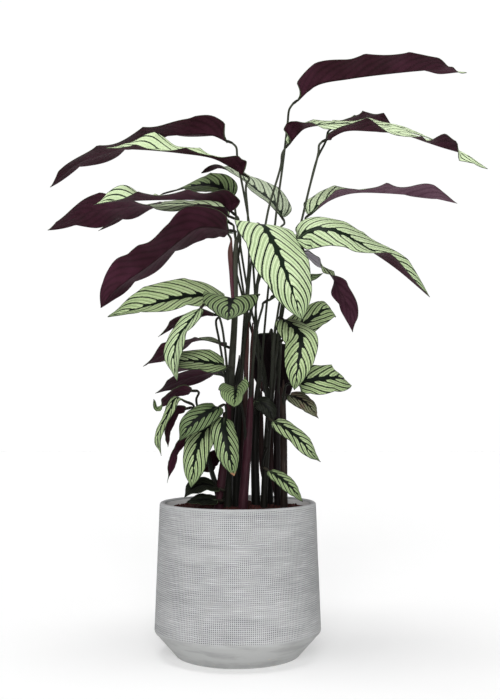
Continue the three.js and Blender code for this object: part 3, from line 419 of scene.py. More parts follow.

# Which leaves have which upper and lower faces, and so which carry painted light or painted shade
TONES = (
    ("high", "pale", (1, 2, 3, 4, 16, 17, 18, 19, 20, 23)),
    ("high", "rosy", (5,)),
    ("pale", "pale", (6, 7, 26, 38, 44, 45, 46)),
    ("mid", "mid", (10, 11, 12, 14, 15, 24, 27, 28, 29, 31, 32, 33, 35, 37, 39)),
    ("mid", "lilac", (8,)),
    ("deep", "mid", (9, 21, 25, 30, 34, 48)),
    ("greyed", "mid", (22,)),
    ("pink", "mid", (13,)),
    ("browned", "mid", (36,)),
    ("dark", "dark", (40, 41, 42, 43, 47)),
)


def srgb(red, green, blue):
    """A screen colour of 0 to 255 as the linear colour that shaders use."""
    linear = []
    for value in (red, green, blue):
        value = value / 255
        linear.append(value / 12.92 if value <= 0.04045 else ((value + 0.055) / 1.055) ** 2.4)
    return (*linear, 1)


class Shader:
    """A short way to write a material's nodes. Three numbers are a screen colour of 0 to 255."""

    def __init__(self, name, colour):
        self.material = bpy.data.materials.new(name)
        self.material.use_nodes = True
        self.tree = self.material.node_tree
        self.surface = self.tree.nodes["Principled BSDF"]
        self.colour = colour

    def put(self, socket, value):
        """Links a socket to another one, or sets it to a constant."""
        if isinstance(value, bpy.types.NodeSocket):
            self.tree.links.new(value, socket)
        elif socket.type == "RGBA" and len(value) == 3:
            socket.default_value = srgb(*value)
        else:
            socket.default_value = value

    def node(self, kind, inputs=None, **settings):
        """The outputs of a new node."""
        node = self.tree.nodes.new(f"ShaderNode{kind}")
        for setting, value in settings.items():
            setattr(node, setting, value)
        for name, value in (inputs or {}).items():
            self.put(node.inputs[name], value)
        return node.outputs

    def math(self, operation, first, second=0.0):
        return self.node("Math", {0: first, 1: second}, operation=operation)[0]

    def times(self, first, second):
        return self.math("MULTIPLY", first, second)

    def plus(self, first, second):
        return self.math("ADD", first, second)

    def rest(self, share):
        """What is left of 1 beside a share."""
        return self.math("SUBTRACT", 1, share)

    def ramp(self, value, low, high, low_to=0.0, high_to=1.0):
        """Moves softly from one number to another while a value goes from low to high."""
        inputs = {"Value": value, "From Min": low, "From Max": high, "To Min": low_to, "To Max": high_to}
        return self.node("MapRange", inputs, interpolation_type="SMOOTHSTEP")[0]

    def under(self, value, limit, blur):
        """1 where a value is under a limit, with an edge as soft as a share of that limit."""
        part = self.math("DIVIDE", value, limit)
        return self.rest(self.ramp(part, 1 - blur / 2, 1 + blur / 2))

    def mix(self, share, first, second):
        return self.node("Mix", {0: share, 6: first, 7: second}, data_type="RGBA")[2]

    def cover(self, share, tint):
        """Lays a tint over the colour so far, as strongly as a share says."""
        self.colour = self.mix(share, self.colour, tint)

    def uv(self, name):
        """The two coordinates of one of a piece's maps."""
        return tuple(self.node("SeparateXYZ", {0: self.node("UVMap", uv_map=name)[0]}))[:2]

    def place(self, scale=(1, 1, 1)):
        """Where a point of the surface is in the piece's own space."""
        return self.node("Mapping", {0: self.node("TexCoord")["Object"], "Scale": scale})[0]

    def height(self):
        return self.node("SeparateXYZ", {0: self.place()})[2]

    def noise(self, scale, detail=3.0, roughness=0.55, place=None):
        """A cloudy pattern of 0 to 1."""
        inputs = {"Vector": self.place() if place is None else place, "Scale": scale,
                  "Detail": detail, "Roughness": roughness}
        return self.node("TexNoise", inputs)["Fac"]

    def streaks(self, name, around_scale, along_scale, seed, roughness=0.55):
        """Noise that is drawn out along one of a piece's maps."""
        around, along = self.uv(name)
        place = self.node("CombineXYZ", {0: self.times(around, around_scale),
                                         1: self.times(along, along_scale), 2: seed})[0]
        return self.noise(1.0, 3.0, roughness, place)

    def bump(self, height, distance, strength, under=None):
        """A relief's effect on the light, on top of another relief if one is given."""
        inputs = {"Strength": strength, "Distance": distance, "Height": height}
        if under is not None:
            inputs["Normal"] = under
        return self.node("Bump", inputs)[0]

    def finish(self, roughness, specular, normal=None, glow=(1, 1, 1, 1), glow_strength=0.0):
        """The material with the colour so far."""
        inputs = {"Base Color": self.colour, "Roughness": roughness, "Specular IOR Level": specular,
                  "Emission Color": glow, "Emission Strength": glow_strength}
        if normal is not None:
            inputs["Normal"] = normal
        for name, value in inputs.items():
            self.put(self.surface.inputs[name], value)
        return self.material


def line_distance(shader, coordinate, offset=0.5):
    """How far a coordinate is from the nearest whole number, 0 to 0.5."""
    shifted = shader.plus(coordinate, offset)
    part = shader.math("FRACT", shifted)
    return shader.math("ABSOLUTE", shader.math("SUBTRACT", part, 0.5))


class Veins:
    """Masks that follow a blade's own veins, read from its vein maps. Widths are metres."""

    def __init__(self, shader, line_scale, band_scale, feather):
        count, self.from_rib = shader.uv("vein")
        from_margin, self.share = shader.uv("margin")
        pitch, _ = shader.uv("pitch")
        breadth, self.shade = shader.uv("leaf")
        ruffle = shader.noise(300, 2)
        self.off_main = line_distance(shader, count)
        thickness = shader.plus(shader.times(breadth, LINE_WIDTH[1]), LINE_WIDTH[0])
        thickness = shader.times(thickness, shader.ramp(ruffle, 0.2, 0.8, 0.8, 1.2))
        thickness = shader.times(thickness, line_scale)
        thickness = shader.math("MINIMUM", thickness, shader.times(pitch, LINE_OF_PITCH))
        self.main = shader.under(shader.times(self.off_main, pitch), thickness, 0.75)
        off_fine = line_distance(shader, shader.times(count, FINE_PER_PITCH))
        fine_away = shader.times(off_fine, shader.times(pitch, 1 / FINE_PER_PITCH))
        self.fine = shader.under(fine_away, shader.ramp(ruffle, 0.3, 0.7, 0.00035, 0.0006), 0.9)
        half_way = shader.times(line_distance(shader, count, 0.0), pitch)
        self.second = shader.under(half_way, shader.times(thickness, 0.5), 0.8)
        reach = shader.plus(BAND_WIDTH[0], shader.times(breadth, BAND_WIDTH[1]))
        reach = shader.times(reach, shader.ramp(self.share, 0.3, 1.0, band_scale, band_scale * 0.1))
        wedge = shader.ramp(self.off_main, 0.0, 0.36, feather, 0.82)
        reach = shader.times(shader.times(reach, wedge), shader.ramp(ruffle, 0.3, 0.7, 0.9, 1.1))
        self.band = shader.under(self.from_rib, reach, 0.25)
        self.edge = shader.under(from_margin, 0.0009, 0.8)


def top_material(name, pale, deep, fine_colour, vein_colour, band_scale=1.0, feather=1.7, clear=0.65,
                 blush=None, tip=None):
    """A blade's upper face: pale ground, fine lines, dark main veins and a dark band on the midrib."""
    shader = Shader(f"blade_top_{name}", pale)
    veins = Veins(shader, 1.0, band_scale, feather)
    patches = shader.ramp(shader.noise(26), 0.35, 0.7, 0.0, 0.3)
    shader.cover(shader.plus(patches, shader.times(veins.shade, 0.4)), deep)
    shader.cover(shader.ramp(veins.off_main, 0.03, 0.22, 0.3, 0.0), deep)
    if blush is not None:
        shader.cover(shader.ramp(shader.noise(60, 4, 0.7), 0.46, 0.62, 0.0, 0.8), blush)
    shader.cover(shader.times(veins.fine, clear), fine_colour)
    shader.cover(shader.times(veins.second, clear), fine_colour)
    dark = shader.math("MAXIMUM", veins.main, shader.math("MAXIMUM", veins.band, veins.edge))
    shader.cover(dark, vein_colour)
    rib = shader.under(veins.from_rib, 0.0014, 0.6)
    shader.cover(shader.times(rib, shader.ramp(veins.share, 0.0, 0.2, 0.5, 0.0)), (90, 102, 78))
    if tip is not None:
        dried = shader.plus(veins.share, shader.ramp(shader.noise(90), 0.3, 0.7, -0.03, 0.03))
        shader.cover(shader.ramp(dried, 0.94, 0.98), tip)
    groove = shader.plus(shader.times(veins.main, -0.6), shader.times(veins.fine, -0.2))
    roughness = shader.ramp(shader.noise(500, 2), 0.2, 0.8, 0.44, 0.58)
    return shader.finish(roughness, 0.12, shader.bump(groove, 0.0005, 0.35))


def under_material(name, deep, light, base=None):
    """A blade's purple lower face: faint veins, lighter between them, and a soft cloudy tone."""
    shader = Shader(f"blade_under_{name}", deep)
    veins = Veins(shader, 0.8, 0.4, 1.2)
    shader.cover(shader.ramp(shader.noise(12), 0.36, 0.74, 0.0, 0.6), light)
    shader.cover(shader.ramp(veins.off_main, 0.05, 0.42, 0.0, 0.22), light)
    if base is not None:
        shader.cover(shader.ramp(veins.share, 0.28, 0.42, 0.95, 0.0), base)
    for mask, strength, tint in ((veins.main, 0.22, (30, 12, 18)), (veins.fine, 0.14, (34, 14, 22)),
                                 (veins.band, 0.5, (36, 20, 22)), (veins.edge, 0.6, (36, 34, 24))):
        shader.cover(shader.times(mask, strength), tint)
    ridge = shader.plus(shader.times(veins.main, 0.6), shader.times(veins.fine, 0.25))
    roughness = shader.ramp(shader.noise(400, 2), 0.2, 0.8, 0.6, 0.75)
    return shader.finish(roughness, 0.1, shader.bump(ridge, 0.0004, 0.25))


def edge_material():
    """The thin rim between a blade's two faces."""
    shader = Shader("blade_edge", (34, 52, 26))
    shader.cover(shader.noise(120, 2), (70, 84, 50))
    return shader.finish(0.5, 0.5)


def stem_material(name, first, second, streak_colour, low=0.0):
    """Stems: two colours on two sides, long fine streaks, a fibrous relief, and painted shade lower down.
    """
    shader = Shader(name, first)
    around, _ = shader.uv("stem")
    facing = shader.math("SINE", shader.times(around, 2 * math.pi))
    side = shader.plus(shader.times(facing, 0.28), shader.streaks("stem", 9, 11, 0.0))
    shader.cover(shader.ramp(side, 0.35, 0.66), second)
    fibres = shader.streaks("stem", 42, 26, 3.0)
    shader.cover(shader.ramp(fibres, 0.52, 0.68, 0.0, 0.6), streak_colour)
    blotches = shader.noise(45, 2, place=shader.place((1, 1, 0.6)))
    shader.cover(shader.ramp(blotches, 0.3, 0.5, 0.45, 0.0), (22, 20, 15))
    # Painted shade: lower down the stem darkens to near black, as strongly as low says
    shader.cover(shader.ramp(shader.height(), *STEM_SHADE_HEIGHTS, low, 0.0), (9, 7, 6))
    roughness = shader.ramp(fibres, 0.3, 0.7, 0.4, 0.58)
    return shader.finish(roughness, 0.14, shader.bump(fibres, 0.0005, 0.6))


def sheath_material():
    """The sheaths: burgundy below, brown-green above, long pale streaks, and painted shade lower down."""
    shader = Shader("stem_sheath", (88, 44, 60))
    _, along = shader.uv("stem")
    fibres = shader.streaks("stem", 26, 20, 7.0)
    shader.cover(shader.ramp(along, 0.03, 0.1), (92, 62, 56))
    shader.cover(shader.ramp(fibres, 0.45, 0.7, 0.0, 0.6), (134, 100, 104))
    # Painted shade: lower down the sheath darkens to near black
    shader.cover(shader.ramp(shader.height(), *STEM_SHADE_HEIGHTS, 0.85, 0.0), (14, 10, 9))
    return shader.finish(0.6, 0.12, shader.bump(fibres, 0.0005, 0.6))


def soil_material():
    """Damp red-brown potting mix with a few pale fibres of bark."""
    shader = Shader("soil_crumb", (34, 16, 14))
    clods = shader.noise(150, 5, 0.7)
    shader.cover(shader.ramp(clods, 0.35, 0.7), (92, 48, 44))
    fleck = shader.ramp(shader.noise(620, 2), 0.66, 0.74)
    shader.cover(shader.times(fleck, 0.5), (140, 104, 84))
    return shader.finish(0.95, 0.2, shader.bump(clods, 0.003, 1.0))


def pot_material():
    """Pale concrete: a fine net pressed in above the foot, brushed with thin whitish streaks."""
    shader = Shader("pot_concrete", (176, 177, 178))
    around, height = shader.uv("pot")
    wobble = shader.noise(34)
    column = shader.plus(shader.times(around, NET_COLUMNS), shader.times(wobble, 1.1))
    row = shader.plus(shader.times(height, NET_ROWS), shader.times(wobble, 1.3))
    pit = shader.times(shader.ramp(line_distance(shader, column), 0.12, 0.34),
                       shader.ramp(line_distance(shader, row), 0.10, 0.34))
    above_foot = shader.ramp(height, 0.044, 0.050)
    net_zone = shader.times(above_foot, shader.rest(shader.ramp(height, 0.2655, 0.268)))
    streaks = shader.streaks("pot", 22, 560, 0.0, 0.6)
    broad = shader.streaks("pot", 4, 75, 5.0, 0.6)
    worn = shader.ramp(shader.streaks("pot", 9, 34, 7.0, 0.6), 0.36, 0.64)
    beige = shader.ramp(shader.streaks("pot", 60, 210, 9.0, 0.6), 0.62, 0.72, 0.0, 0.5)
    smudge = shader.ramp(shader.streaks("pot", 12, 70, 11.0, 0.6), 0.42, 0.66)
    shader.cover(shader.ramp(shader.noise(9, 4), 0.3, 0.7), (188, 189, 190))
    shader.cover(shader.times(shader.ramp(streaks, 0.5, 0.7, 0.0, 0.7), net_zone), (216, 217, 218))
    shader.cover(shader.times(shader.ramp(streaks, 0.28, 0.42, 0.35, 0.0), net_zone), (128, 130, 131))
    shader.cover(shader.ramp(broad, 0.5, 0.72, 0.0, 0.3), (140, 142, 143))
    # Painted shade in the net's pits, less strong where the wall is worn
    pit_shade_strength = shader.rest(shader.times(worn, 0.45))
    shader.cover(shader.times(shader.times(pit, net_zone), pit_shade_strength), (92, 94, 95))
    foot_colour = shader.mix(smudge, (168, 169, 168), (148, 149, 148))
    shader.cover(shader.times(shader.rest(above_foot), 0.85), foot_colour)
    near_base = shader.rest(shader.ramp(height, 0.006, 0.05))
    shader.cover(shader.times(beige, near_base), (200, 188, 166))
    # Painted light: the inner wall is near white, paler than the rest of the pot, so that it stays bright
    # in the plant's shade
    inside = shader.ramp(height, 0.5, 0.6)
    shader.cover(inside, shader.mix(worn, (244, 244, 243), (252, 252, 251)))
    normal = shader.bump(shader.times(pit, shader.times(net_zone, -1.0)), 0.0009, 0.7)
    normal = shader.bump(streaks, 0.0006, 0.5, normal)
    normal = shader.bump(shader.noise(700), 0.0003, 0.4, normal)
    return shader.finish(0.86, 0.25, normal)


def mesh_object(name, points, faces, materials, uvs=None, slots=None):
    """A piece from points in millimetres. uvs maps a UV map's name to one pair for each point."""
    mesh = bpy.data.meshes.new(name)
    mesh.from_pydata((np.array(points, dtype=float) * MM).tolist(), [], faces)
    for material in materials:
        mesh.materials.append(material)
    if slots is not None:
        mesh.polygons.foreach_set("material_index", slots)
    mesh.polygons.foreach_set("use_smooth", [True] * len(mesh.polygons))
    corner_points = np.empty(len(mesh.loops), dtype=int)
    mesh.loops.foreach_get("vertex_index", corner_points)
    for uv_name, pairs in (uvs or {}).items():
        layer = mesh.uv_layers.new(name=uv_name)
        layer.data.foreach_set("uv", np.asarray(pairs, dtype=float)[corner_points].ravel())
    mesh.update()
    piece = bpy.data.objects.new(name, mesh)
    bpy.context.collection.objects.link(piece)
    return piece


def net_faces(rows, columns, first=0):
    """Faces between the points of a net, row after row."""
    width = columns + 1
    return [(a, a + 1, a + 1 + width, a + width)
            for start in range(first, first + rows * width, width) for a in range(start, start + columns)]


def dress(piece, node):
    """Puts a fine piece in the place of its solid."""
    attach(piece, "root")
    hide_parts(node)


class Path:
    """A smooth centripetal curve through points, read by station or by share of its length."""

    STEPS = 400
    SMALL_STEP = 0.0001

    def __init__(self, points):
        self.points = np.array(points, dtype=float)
        self.last = len(self.points) - 1
        self.table = np.linspace(0, 1, self.STEPS + 1)
        sampled = self.at(self.table)
        lengths = np.linalg.norm(np.diff(sampled, axis=0), axis=1)
        self.lengths = np.concatenate([[0], np.cumsum(lengths)])
        self.length = self.lengths[-1]

    def station(self, share):
        """Where on the curve a share of its length falls."""
        return np.interp(np.asarray(share) * self.length, self.lengths, self.table)

    def at(self, stations):
        """Points at stations of 0 to 1, evenly shared among the given points."""
        stations = np.clip(np.atleast_1d(stations), 0, 1) * self.last
        first = np.minimum(stations.astype(int), self.last - 1)
        part = (stations - first)[:, None]
        padded = np.vstack([2 * self.points[0] - self.points[1], self.points,
                            2 * self.points[-1] - self.points[-2]])
        p0, p1, p2, p3 = (padded[first + step] for step in range(4))
        d0, d1, d2 = (np.sqrt(np.linalg.norm(b - a, axis=1))[:, None]
                      for a, b in ((p0, p1), (p1, p2), (p2, p3)))
        slope1 = ((p1 - p0) / d0 - (p2 - p0) / (d0 + d1) + (p2 - p1) / d1) * d1
        slope2 = ((p2 - p1) / d1 - (p3 - p1) / (d1 + d2) + (p3 - p2) / d2) * d1
        square = part * part
        cube = square * part
        return (p1 + slope1 * part + (-3 * p1 + 3 * p2 - 2 * slope1 - slope2) * square
                + (2 * p1 - 2 * p2 + slope1 + slope2) * cube)

    def along(self, stations):
        """Unit directions of the curve at stations."""
        stations = np.asarray(stations)
        ahead = self.at(stations + self.SMALL_STEP) - self.at(stations - self.SMALL_STEP)
        return ahead / np.linalg.norm(ahead, axis=1)[:, None]


def between(values, stations):
    """Values at stations of 0 to 1, with smooth steps from one given value to the next."""
    values = np.array(values, dtype=float)
    place = np.clip(stations, 0, 1) * (len(values) - 1)
    first = np.minimum(place.astype(int), len(values) - 2)
    part = place - first
    return values[first] + (values[first + 1] - values[first]) * part * part * (3 - 2 * part)


def unit(vectors):
    """The same directions at length 1."""
    return vectors / np.linalg.norm(vectors, axis=-1)[..., None]


class Leaf:
    """One blade, on the same rule as the solids."""

    def __init__(self, number, row):
        self.number = number
        self.width, self.wave_height, self.waves, self.droop, stations = row
        self.path = Path([station[:3] for station in stations])
        self.angles = {-1: [station[3] for station in stations], 1: [station[4] for station in stations]}
        self.phase = WAVE_LEAF_PHASE * (number - 1)
        heading = self.path.points[-1] - self.path.points[0]
        heading[2] = 0
        self.side = np.cross(heading / np.linalg.norm(heading), (0, 0, 1))
        self.large = self.width > LARGE_LEAF

    def frame(self, shares):
        """Points of the midrib, its directions ahead, to the right and up, and its stations."""
        stations = self.path.station(shares)
        along = self.path.along(stations)
        right = unit(self.side - (along @ self.side)[:, None] * along)
        return self.path.at(stations), along, right, np.cross(right, along), stations

    def half_width(self, shares):
        """Half the blade's width: rounded at the base, widest early, drawn out to the tip."""
        to_base = np.clip((BLADE_WIDEST_AT - shares) / BLADE_WIDEST_AT, 0, 1)
        to_tip = np.clip((shares - BLADE_WIDEST_AT) / (1 - BLADE_WIDEST_AT), 0, 1)
        base_form = (1 - to_base ** BLADE_BASE_POWER) ** BLADE_BASE_ROUND
        form = np.where(shares < BLADE_WIDEST_AT, base_form, 1 - to_tip ** BLADE_TIP_POWER)
        return np.maximum(self.width / 2 * form, np.where(shares < 0.5, BLADE_NECK, BLADE_TIP))

    def face(self, shares, acrosses):
        """Points of the upper face on a grid of shares and acrosses, in millimetres."""
        place, along, right, up, stations = self.frame(shares)
        grown = np.clip(shares / BLADE_OPEN_BY, 0, 1)
        half = self.half_width(shares)
        grid = np.empty((len(shares), len(acrosses), 3))
        for column, across in enumerate(acrosses):
            part = abs(across)
            sign = -1 if across < 0 else 1
            bend = np.maximum(np.radians(self.droop) * grown, 1e-6)
            start = np.radians(between(self.angles[sign], stations)) * grown + bend / 2
            outward = (np.sin(start) - np.sin(start - bend * part)) / bend
            upward = (np.cos(start - bend * part) - np.cos(start)) / bend
            phase = self.phase if across < 0 else self.phase + WAVE_SIDE_PHASE
            swing = np.abs(np.sin(math.pi * (self.waves * shares + phase))) ** WAVE_SHARPNESS
            hump = np.abs(np.sin(math.pi * shares)) ** 0.5
            crest = self.wave_height * grown * hump * part * part * (1 - 2 * swing)
            lobe = BLADE_LOBE * half * grown * np.maximum(1 - shares / BLADE_LOBE_END, 0) ** 2
            shift = np.sign(across) * (half * outward - crest * np.sin(start))
            grid[:, column] = (place - (lobe * part * part)[:, None] * along + shift[:, None] * right
                               + (half * upward + crest * np.cos(start))[:, None] * up)
        return grid, up

    def vein_coordinate(self, shares, acrosses):
        """Counts the main veins, which leave the midrib and sweep forward to the margin."""
        length = self.path.length
        spacing = np.clip(length / (VEINS_PER_SIDE if self.large else SMALL_LEAF_VEINS), *VEIN_SPACINGS)
        reach = (VEIN_REACH if self.large else SMALL_LEAF_VEIN_REACH) * self.width / 2 / length
        start = shares[:, None] - reach * np.abs(acrosses)[None, :] ** VEIN_BEND
        return length / spacing * start + np.where(acrosses < 0, 0.5, 0.0)[None, :]


def sheet_faces(rows, columns):
    """Faces of a thin sheet: the upper face, the lower face and the rim between them."""
    width = columns + 1
    under = (rows + 1) * width
    upper = net_faces(rows, columns)
    lower = [(under + a, under + d, under + c, under + b) for a, b, c, d in upper]
    rim = []
    for left in range(0, rows * width, width):
        right = left + columns
        rim.append((left, left + width, under + left + width, under + left))
        rim.append((right, under + right, under + right + width, right + width))
    end = rows * width
    for j in range(columns):
        rim.append((j, under + j, under + j + 1, j + 1))
        rim.append((end + j, end + j + 1, under + end + j + 1, under + end + j))
    slots = [UPPER_SLOT] * len(upper) + [LOWER_SLOT] * len(lower) + [RIM_SLOT] * len(rim)
    return upper + lower + rim, slots


def edge_ripple(shares, acrosses, generator):
    """A small irregular ripple along each margin, from -1 to 1."""
    knots = generator.uniform(-1, 1, (2, RIPPLE_KNOTS))
    knot_shares = np.linspace(0, 1, RIPPLE_KNOTS)
    left = np.interp(shares, knot_shares, knots[0])[:, None]
    right = np.interp(shares, knot_shares, knots[1])[:, None]
    return np.where((acrosses < 0)[None, :], left, right)


def vein_pitch(face, vein, acrosses):
    """Metres between two main veins at each point of the face."""
    step_forward = np.linalg.norm(np.gradient(face, axis=0), axis=2)
    step_sideways = np.linalg.norm(np.gradient(face, axis=1), axis=2)
    outer = vein - np.where(acrosses < 0, 0.5, 0.0)[None, :]
    slope = np.hypot(np.gradient(outer, axis=0) / step_forward,
                     np.gradient(outer, axis=1) / step_sideways)
    return MM / np.maximum(slope, 0.01)


def blade(leaf, materials):
    """A blade raised between the veins, grooved along the midrib and rippled at the margins."""
    rows = FINE_ROWS[leaf.large]
    columns = FINE_COLUMNS[leaf.large]
    generator = np.random.default_rng(SEED + leaf.number)
    even = np.linspace(0, 1, rows + 1)
    shares = ROW_EVENNESS * even + (1 - ROW_EVENNESS) * (0.5 - 0.5 * np.cos(math.pi * even))
    acrosses = np.linspace(-1, 1, columns + 1)
    acrosses = np.sign(acrosses) * np.abs(acrosses) ** COLUMN_SPREAD
    face, up = leaf.face(shares, acrosses)
    normal = unit(np.cross(np.gradient(face, axis=1), np.gradient(face, axis=0)))
    normal[0] = up[0]

    vein = leaf.vein_coordinate(shares, acrosses)
    part = np.abs(acrosses)[None, :]
    from_rib = part * leaf.half_width(shares)[:, None]
    to_rim = (1 - part) * leaf.half_width(shares)[:, None]
    quiet = np.clip(shares / END_SHARE, 0, 1)[:, None] * np.clip((1 - shares) / END_SHARE, 0, 1)[:, None]
    middle = np.sin(math.pi * np.minimum(part * QUILT_SPREAD, 1))
    quilt = QUILT_HEIGHT * quiet * middle * np.abs(np.sin(math.pi * vein))
    offset = quilt + RIPPLE * quiet * edge_ripple(shares, acrosses, generator) * part ** 3
    groove = GROOVE_DEPTH * np.exp(-(from_rib / GROOVE_REACH) ** 2) * quiet
    near_neck = np.exp(-(shares * leaf.path.length) / BLADE_NECK_LENGTH)[:, None]
    swell = near_neck * BLADE_NECK * BLADE_NECK_SWELL
    rib = BLADE_RIB * (1 - shares)[:, None] * np.exp(-(from_rib / RIB_REACH) ** 2)
    top = face + (swell + offset - groove)[..., None] * normal
    bottom = face + (offset - BLADE_THICKNESS - rib - swell)[..., None] * normal
    points = np.concatenate([top.reshape(-1, 3), bottom.reshape(-1, 3)])

    pitch = vein_pitch(face, vein, acrosses)
    along = np.broadcast_to(shares[:, None], vein.shape)
    breadth = np.full(vein.shape, leaf.width * MM)
    shade = np.full(vein.shape, generator.uniform(0, 1))
    maps = {"vein": (vein, from_rib * MM), "margin": (to_rim * MM, along),
            "pitch": (pitch, pitch), "leaf": (breadth, shade)}
    uvs = {}
    for map_name, pair in maps.items():
        flat = np.stack(pair, axis=-1).reshape(-1, 2)
        uvs[map_name] = np.concatenate([flat, flat])
    faces, slots = sheet_faces(rows, columns)
    name = f"leaf_{leaf.number:02d}"
    piece = mesh_object(f"{name}_blade", points, faces, materials, uvs, slots)
    dress(piece, name)


def tube(centres, directions, radii, sides, builder, slot, ribbed=0.0):
    """Adds a round tapered tube to the builder's lists."""
    points, faces, slots, uvs = builder
    first = len(points)
    across = np.array([1.0, 0, 0])
    walked = 0.0
    for ring, (centre, along, radius) in enumerate(zip(centres, directions, radii)):
        across = across - across.dot(along) * along
        across = across / np.linalg.norm(across)
        other = np.cross(along, across)
        if ring:
            walked += np.linalg.norm(centre - centres[ring - 1]) * MM
        for side in range(sides + 1):
            turn = 2 * math.pi * side / sides
            swell = 1 + ribbed * math.sin(3 * turn + 18 * walked) * math.sin(turn - 4 * walked)
            offset = radius * swell * (math.cos(turn) * across + math.sin(turn) * other)
            points.append(centre + offset)
            uvs.append((side / sides, walked))
    last = len(points) - sides - 1
    wall = net_faces(len(centres) - 1, sides, first)
    ends = [tuple(range(first + sides - 1, first - 1, -1)), tuple(range(last, last + sides))]
    faces += wall + ends
    slots += [slot] * (len(wall) + len(ends))


def cane(rows, builder):
    """A cane from its buried foot to its tip, upright as far as the soil."""
    x, y, radius = rows[0]
    points = [(x, y, SOIL_TOP - CANE_DEPTH_IN_SOIL), (x, y, SOIL_TOP)] + [row[:3] for row in rows[1:]]
    radii = [radius * CANE_FOOT_TAPER, radius] + [row[3] for row in rows[1:]]
    path = Path(points)
    stations = np.linspace(0, 1, CANE_STEPS * (len(points) - 1) + 1)
    centres = path.at(stations)
    buried = centres[:, 2] <= SOIL_TOP
    centres[buried, 0] = x
    centres[buried, 1] = y
    tube(centres, path.along(stations), between(radii, stations), CANE_SIDES, builder, CANE_SLOT,
         ribbed=0.05)


def eased_point(last, joint, along):
    """The point before a joint that turns its stalk halfway into the joint's direction."""
    back = np.array(last) - joint
    distance = np.linalg.norm(back)
    reach = min(STALK_EASE, STALK_EASE_SHARE * distance)
    return joint + reach * (back / distance - along)


def leaf_stalk(leaf, rows, builder):
    """A leaf's stalk, with a swollen joint that ends just short of the blade."""
    place, along, _, _, _ = leaf.frame(np.array([0.0]))
    place, along = place[0], along[0]
    joint = place - JOINT_LENGTH * along
    path = Path([*rows, tuple(eased_point(rows[-1], joint, along)), tuple(joint)])
    spans = len(rows) + 1
    stations = np.linspace(0, 1, STALK_STEPS * spans + 1)
    directions = path.along(stations)
    directions[-1] = unit(directions[-1] + along)
    radii = np.interp(stations * spans, [0, 1], [STALK_ROOT_RADIUS, STALK_RADIUS])
    tube(path.at(stations), directions, radii, STALK_SIDES, builder, STALK_SLOT)
    steps = np.linspace(0, 1, JOINT_STEPS)
    bulge = np.sin(math.pi * np.minimum(steps * 0.8 + 0.1, 1)) ** 0.6
    swollen = STALK_RADIUS + (JOINT_RADIUS - STALK_RADIUS) * bulge
    ends = joint + steps[:, None] * (place - GAP * along - joint)
    turns = np.repeat(along[None, :], len(steps), axis=0)
    turns[0] = directions[-1]
    tube(ends, turns, swollen, STALK_SIDES, builder, JOINT_SLOT)


def sheath(rows, builder):
    """A papery sheath along a cane, pointed at its upper end."""
    path = Path([row[:3] for row in rows])
    stations = np.linspace(0, 1, SHEATH_STEPS * len(rows) + 1)
    radii = between([row[3] for row in rows], stations)
    tube(path.at(stations), path.along(stations), radii, SHEATH_SIDES, builder, SHEATH_SLOT, ribbed=0.08)


def shoot(name, cane_rows, stalks, sheaths, leaves, materials):
    """One grown piece: a cane, the stalks of its leaves and its sheaths."""
    builder = ([], [], [], [])
    cane(cane_rows, builder)
    for number, rows in stalks.items():
        leaf_stalk(leaves[number], rows, builder)
    for rows in sheaths:
        sheath(rows, builder)
    points, faces, slots, uvs = builder
    piece = mesh_object(f"{name}_stems", points, faces, materials, {"stem": uvs}, slots)
    dress(piece, name)


def plant():
    """All blades and shoots, each with its materials."""
    leaves = {number: Leaf(number, row) for number, row in LEAVES.items()}
    tops = {tone: top_material(tone, *colours, **extras) for tone, (*colours, extras) in TOPS.items()}
    unders = {tone: under_material(tone, *colours) for tone, colours in UNDERS.items()}
    edge = edge_material()
    coats = {number: (tops[upper], unders[lower], edge)
             for upper, lower, numbers in TONES for number in numbers}
    for number, leaf in leaves.items():
        blade(leaf, coats[number])
    # The stalks' last number is how deep the painted shade on their lower parts is
    stalk = stem_material("leaf_stalk", (60, 64, 52), (26, 29, 21), (84, 88, 76), 0.85)
    joint = stem_material("leaf_joint", (34, 34, 26), (46, 42, 34), (26, 22, 18))
    bract = sheath_material()
    for side, (look, *rows) in SHOOTS.items():
        bark = stem_material(f"cane_{side}", *look)
        shoot(f"shoot_{side}", *rows, leaves, (bark, stalk, joint, bract))


def turned(radius, turn, height):
    """The point at a distance from the pot's axis, an angle round it and a height."""
    return (radius * math.cos(turn), radius * math.sin(turn), height)


def lip_round(centre, start, end):
    """Points of the lip's round in a section, angles in degrees from outward towards up."""
    turns = np.radians(np.linspace(start, end, POT_LIP_STEPS + 1))
    return [(centre[0] + POT_LIP_ROUND * math.cos(turn), centre[1] + POT_LIP_ROUND * math.sin(turn))
            for turn in turns]


def straight(start, end, rows):
    """The points between two corners of a section, at even steps, without the corners."""
    shares = [row / rows for row in range(1, rows)]
    return [(start[0] + (end[0] - start[0]) * share, start[1] + (end[1] - start[1]) * share)
            for share in shares]


